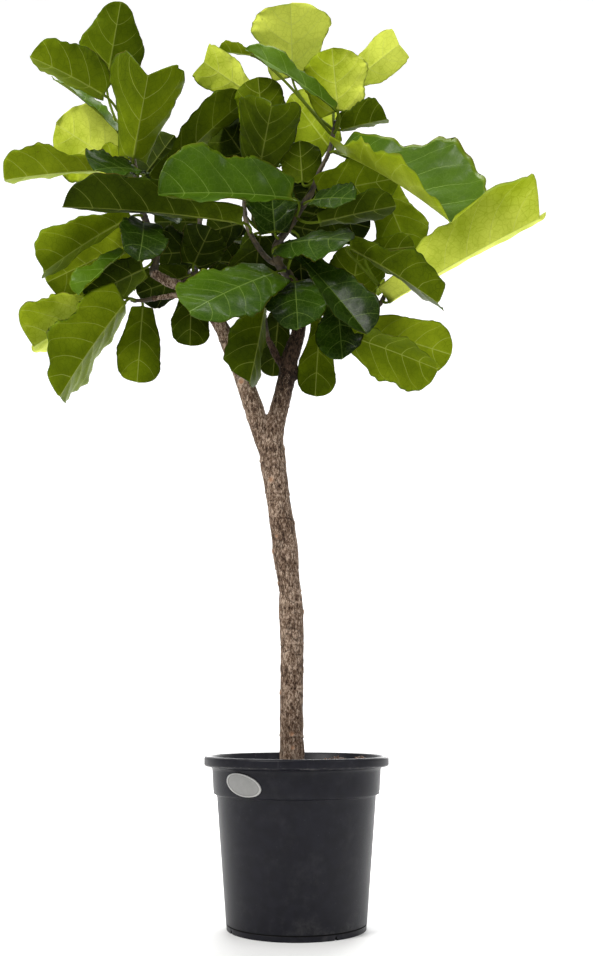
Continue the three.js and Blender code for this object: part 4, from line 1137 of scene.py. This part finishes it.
pot = {
    "sides": 360,
    "rim": 170,
    "top": 308,
    "drop": 18,  # how far the rim's band hangs down
    "wall": 3.4,
    "collarTop": (155.4, 288),  # radius and height, as in the next three
    "collarFoot": (152.6, 239.4),
    "bodyTop": (146.8, 238.2),
    "bodyFoot": (127.6, 11.5),
    "foot": 126.5,
    "pad": 42,  # radius of the pad under the floor
    "notches": [-64.7, 32.5, 115.3, 212.5],  # degrees round the foot from the front
    "notch": (9.5, 2.9),  # its height in the middle and its slope
    "drains": (5, 82, 8),  # how many, how far out and their radius
    "spacing": 12,  # of points along a straight run, at most
    "edge": 38,  # degrees from which an edge stays sharp
    "outOfRound": 0.0012,  # of the radius, at the top
    "dark": (0.0050, 0.0050, 0.0085),
    "light": (0.0076, 0.0076, 0.0125),
    "paleWearAndHighlight": (0.20, 0.195, 0.185),
    "shade": (0.001, 0.001, 0.001),  # in the groove over the foot
}


# A corner of a turned profile made round: the points of an arc that touches both straight runs.
def roundCorners(corners, radii, steps=5):
    points = [np.array(corners[0], float)]
    for before, here, after, radius in zip(corners, corners[1:], corners[2:], radii):
        before, here, after = (np.array(p, float) for p in (before, here, after))
        inward, onward = unit(before - here), unit(after - here)
        reach = min(radius, 0.45 * np.linalg.norm(before - here), 0.45 * np.linalg.norm(after - here))
        for t in np.linspace(0, 1, steps):
            start, end = here + inward * reach, here + onward * reach
            points.append(start * (1 - t) ** 2 + here * 2 * t * (1 - t) + end * t ** 2)
    points.append(np.array(corners[-1], float))
    return np.array(points)


# Long straight runs of a profile get points between, no further apart than most.
def splitRuns(points, most):
    out = [points[:1]]
    for a, b in zip(points, points[1:]):
        count = max(1, math.ceil(np.linalg.norm(b - a) / most))
        out.append(a + (b - a) * (np.arange(1, count + 1) / count)[:, None])
    return np.concatenate(out)


# The profile turned about the pot's axis. Notches lift the foot ring's edge, and the wall is a hair out of
# round.
def potSkin():
    p = pot
    foot, rim, top, wall = p["foot"], p["rim"], p["top"], p["wall"]
    band = top - p["drop"]  # the rim's lower edge
    corners = [
        (0, 0), (p["pad"], 0), (p["pad"] + 2, 6), (foot - 10, 6), (foot - 9, 0), (foot, 0),
        (foot + 0.6, 10.4), p["bodyFoot"], p["bodyTop"], p["collarFoot"], p["collarTop"],
        (rim - 2, band), (rim, band + 2), (rim, top - 3.5), (rim - 3.5, top), (rim - 7, top - 0.8),
        (rim - 8.5, top - 3), (p["collarTop"][0] - wall, p["collarTop"][1]),
        (p["collarFoot"][0] - wall, p["collarFoot"][1] + 2), (p["bodyTop"][0] - wall, p["bodyTop"][1] - 2),
        (p["bodyFoot"][0] - wall, 10), (0, 10),
    ]
    radii = [1, 1.5, 1.5, 0.8, 0.8, 1.2, 1.2, 2.5, 2.5, 6, 1, 1, 2, 2, 2, 1.5, 6, 5, 5, 4]
    profile = splitRuns(roundCorners(corners, radii), p["spacing"])[1:-1]
    angle = np.linspace(0, 2 * np.pi, p["sides"], endpoint=False)
    radius = profile[:, :1] * (1 + p["outOfRound"] * np.sin(2 * angle + 0.7) * profile[:, 1:] / top)
    height = profile[:, 1:] + 0 * angle
    onRing = ((profile[:, 0] > foot - 11) & (profile[:, 1] < 9))[:, None]
    notchTop, notchSlope = p["notch"]
    for notch in p["notches"]:
        away = np.abs((np.degrees(angle) - notch + 180) % 360 - 180) * math.radians(foot)
        lift = np.clip(notchTop - notchSlope * away, 0, 9)
        height = np.where(onRing, np.maximum(height, lift), height)
    rings = np.stack([radius * np.sin(angle), -radius * np.cos(angle), height], -1)
    return skin(rings, [0, 0, 0], [0, 0, 10])


# Pot finish: dark satin plastic with a fine moulded grain, dusty low down, with scuffs on the rim's edges, a
# few scratches and pale specks, and painted shade in the groove over the foot. The pale patches on the rim's
# top edge are partly scuffs and partly a painted highlight.
def potRecipe(start):
    where = start.place()
    up = where.axis("Z")
    cloud, mottle = start.noise(where, 7, 3), start.noise(where, 55, 4)
    colour = mottle.step(0.3, 0.7).tint(pot["dark"], pot["light"])
    low = up.step(0.06, 0.0) * 0.5 + 0.12 + cloud * 0.1
    dust = start.noise(where, 24, 6, 0.7).step(0.48, 0.75) * low
    # pale patches on the band's lower edge are scuffs; on the rim's top edge they are partly scuffs and
    # partly a painted highlight
    edge = up.step(0.2885, 0.2900) * up.step(0.2945, 0.2915) + up.step(0.3050, 0.3078)
    scuffAndRimHighlight = start.noise(start.place((1, 1, 5)), 85, 5, 0.7).step(0.50, 0.68) * edge
    scratch = start.noise(start.place((1, 1, 0.06)), 240, 2, 0.5).step(0.68, 0.74)
    scratch = scratch * cloud.step(0.5, 0.7)
    speck = start.cells(where, 150).step(0.07, 0.04) * mottle.step(0.45, 0.6)
    pale = dust * 0.25 + scuffAndRimHighlight * 0.4 + scratch * 0.12 + speck * 0.4
    # painted shade: near black in the groove over the foot, for the shadow under the step
    groove = up.step(0.0088, 0.0100) * up.step(0.0126, 0.0114)
    colour = pale.math("MINIMUM", pale, 1.0).tint(colour, pot["paleWearAndHighlight"])
    colour = groove.tint(colour, pot["shade"])
    return {
        "Base Color": colour,
        "Roughness": 0.36 + mottle * 0.07 + pale * 0.35 + groove * 0.5,
        "Specular IOR Level": 0.19,
        "relief": (start.noise(where, 950, 2) * 0.00010 + mottle * 0.00010 - scratch * 0.00006
                   - groove * 0.0008),
    }


# The turned pot with its drainage holes cut through the floor by a ring of short rods.
def buildPot(material):
    piece = buildPiece("nursery_pot", [potSkin()], [material], ["pot"])
    drains, out, radius = pot["drains"]
    skins = []
    for k in range(drains):
        a = 2 * math.pi * k / drains
        spine = np.array([[out * math.cos(a), out * math.sin(a), z] for z in np.linspace(-4, 20, 7)])
        skins.append(skin(*rod(spine, np.full(7, radius), 28)))
    cutter = bpy.data.objects.new("drains", bpy.data.meshes.new("drains"))
    points = np.concatenate([s["points"] for s in skins]) * mm
    shifts = np.arange(drains) * len(skins[0]["points"])
    faces = []
    for s, shift in zip(skins, shifts):
        faces += (s["quads"] + shift).tolist() + (s["fans"] + shift).tolist()
    cutter.data.from_pydata(points.tolist(), [], faces)
    bpy.context.scene.collection.objects.link(cutter)
    cut = piece.modifiers.new("drains", "BOOLEAN")
    cut.object, cut.solver = cutter, "EXACT"
    mesh = settleModifiers(piece)
    bpy.data.objects.remove(cutter)
    mesh.shade_smooth()
    mesh.set_sharp_from_angle(angle=math.radians(pot["edge"]))


buildPot(makeMaterial("satin pot plastic", potRecipe))


# badge

badge = {
    "width": 78,
    "height": 38,
    "angle": -37.3,  # degrees round the pot from the front
    "z": 262,  # of its middle
    "tilt": -12,  # degrees
    "sides": 144,
    "rings": [  # share of the size, and height over the collar, from the hidden back to the middle
        (1, -1.5), (1, 2.2), (0.992, 2.55), (0.975, 2.7), (0.93, 2.7), (0.905, 2.55), (0.89, 2.1),
        (0.875, 1.85), (0.85, 1.8), (0.7, 1.86), (0.5, 1.92), (0.25, 1.95),
    ],
    "dark": (0.20, 0.20, 0.195),
    "light": (0.28, 0.28, 0.272),
    "border": (0.50, 0.50, 0.485),
    "dirt": (0.07, 0.065, 0.06),
}


# An oval plate bent round the collar: rings from the hidden back over the raised border to the flat middle.
def badgeSkin():
    share, height = np.array(badge["rings"]).T[:, :, None]
    a = np.linspace(0, 2 * np.pi, badge["sides"], endpoint=False)
    x, y = share * badge["width"] / 2 * np.cos(a), share * badge["height"] / 2 * np.sin(a)
    tilt = math.radians(badge["tilt"])
    out = x * math.cos(tilt) - y * math.sin(tilt)
    up = badge["z"] + x * math.sin(tilt) + y * math.cos(tilt)
    (topRadius, topHeight), (footRadius, footHeight) = pot["collarTop"], pot["collarFoot"]
    wall = footRadius + (topRadius - footRadius) * (up - footHeight) / (topHeight - footHeight)
    angle = math.radians(badge["angle"]) + out / wall
    radius = wall + height
    rings = np.stack([radius * np.sin(angle), -radius * np.cos(angle), up], -1)
    fromEdge = np.broadcast_to(share, rings.shape[:2])
    return skin(rings, rings[0].mean(axis=0), rings[-1].mean(axis=0), fromEdge=fromEdge)


# Badge finish: pale satin plastic, rubbed lighter on the raised border, darker in the corner inside it, and
# with dirt in fine specks.
def badgeRecipe(start):
    where = start.place()
    fromEdge, cloud = start.mark("fromEdge"), start.noise(where, 90, 3)
    grit = start.noise(where, 700, 4, 0.7)
    border = fromEdge.step(0.885, 0.91)
    colour = cloud.tint(badge["dark"], badge["light"])
    colour = (border * 0.5).tint(colour, badge["border"])
    # darker in the corner at the foot of the border
    corner = fromEdge.step(0.86, 0.875) * fromEdge.step(0.90, 0.885)
    colour = (corner * 0.6 + grit.step(0.62, 0.72) * 0.25).tint(colour, badge["dirt"])
    return {
        "Base Color": colour,
        "Metallic": 0.25,
        "Roughness": 0.34 + grit * 0.14,
        "relief": grit * 0.00006,
    }


badgePlastic = makeMaterial("badge plastic", badgeRecipe)
buildPiece("oval_badge", [badgeSkin()], [badgePlastic], ["pot_badge"])
print("pot and badge built")


# studio

studio = {
    "floor": 0.86,
    "sky": 0.42,
    "glow": 0.5,  # of the wall, as a backlit one
    "glowFrom": (0.4, 3.4),  # metres behind the trunk: where it starts and where it is full
    "bend": (4.0, 1.6),  # metres behind the trunk where the floor turns up, and the radius
    "lights": [  # name, place, size, power and colour, all aimed at the crown
        ("key", (-1.8, -1.7, 2.9), 1.2, 85, (1, 0.985, 0.96)),
        ("fill", (2.4, -1.6, 1.6), 1.4, 22, (0.96, 0.98, 1)),
        ("top", (0.2, 0.4, 3.7), 1.8, 90, (1, 1, 0.98)),
        ("back", (0.3, 3.2, 1.6), 3.0, 150, (1, 1, 1)),
    ],
    "aim": (0, 0, 1.1),
}


# Paper finish: white with a faint grain, glowing towards the wall.
def paperRecipe(start):
    grain = start.noise(start.place(), 3, 2)
    white = studio["floor"]
    glow = start.place().axis("Y").step(*studio["glowFrom"]) * studio["glow"]
    return {
        "Base Color": grain.tint([white] * 3, [white + 0.02] * 3),
        "Emission Color": glow.tint((0, 0, 0), (1, 1, 1)),
        "Emission Strength": 1.0,
        "Roughness": 0.9,
    }


# A floor that sweeps up into a wall behind: one profile carried sideways.
def buildStage():
    t = np.linspace(0, math.pi / 2, 24)
    behind, radius = studio["bend"]
    profile = np.concatenate([
        [[-7, 0], [-3, 0], [0, 0], [2.6, 0]],
        np.stack([behind + radius * np.sin(t), radius - radius * np.cos(t)], -1),
        [[5.6, 3], [5.6, 6], [5.6, 9]],
    ])
    across = np.linspace(-9, 9, 5)
    points = np.array([[x, y, z] for y, z in profile for x in across])
    rows, columns = len(profile), len(across)
    faces = [[i * columns + j, i * columns + j + 1, (i + 1) * columns + j + 1, (i + 1) * columns + j]
             for i in range(rows - 1) for j in range(columns - 1)]
    mesh = bpy.data.meshes.new("floor")
    mesh.from_pydata(points.tolist(), [], faces)
    mesh.shade_smooth()
    floor = bpy.data.objects.new("floor", mesh)
    bpy.context.scene.collection.objects.link(floor)
    mesh.materials.append(makeMaterial("studio paper", paperRecipe))


# Round lamps turned from straight down to the aim, and an even white sky.
def lightStudio():
    for name, place, size, power, colour in studio["lights"]:
        lamp = bpy.data.lights.new(name, "AREA")
        lamp.shape, lamp.size, lamp.energy, lamp.color = "DISK", size, power, colour
        holder = bpy.data.objects.new(name, lamp)
        holder.location = place
        aim = np.array(studio["aim"]) - place
        tip = math.atan2(math.hypot(aim[0], aim[1]), -aim[2])
        holder.rotation_euler = (tip, 0, math.atan2(-aim[0], aim[1]))
        bpy.context.scene.collection.objects.link(holder)
    world = bpy.data.worlds.new("studio air")
    world.use_nodes = True
    air = world.node_tree.nodes["Background"]
    air.inputs["Color"].default_value = (1, 1, 1, 1)
    air.inputs["Strength"].default_value = studio["sky"]
    bpy.context.scene.world = world
    bpy.context.scene.view_settings.view_transform = "Standard"


buildStage()
lightStudio()
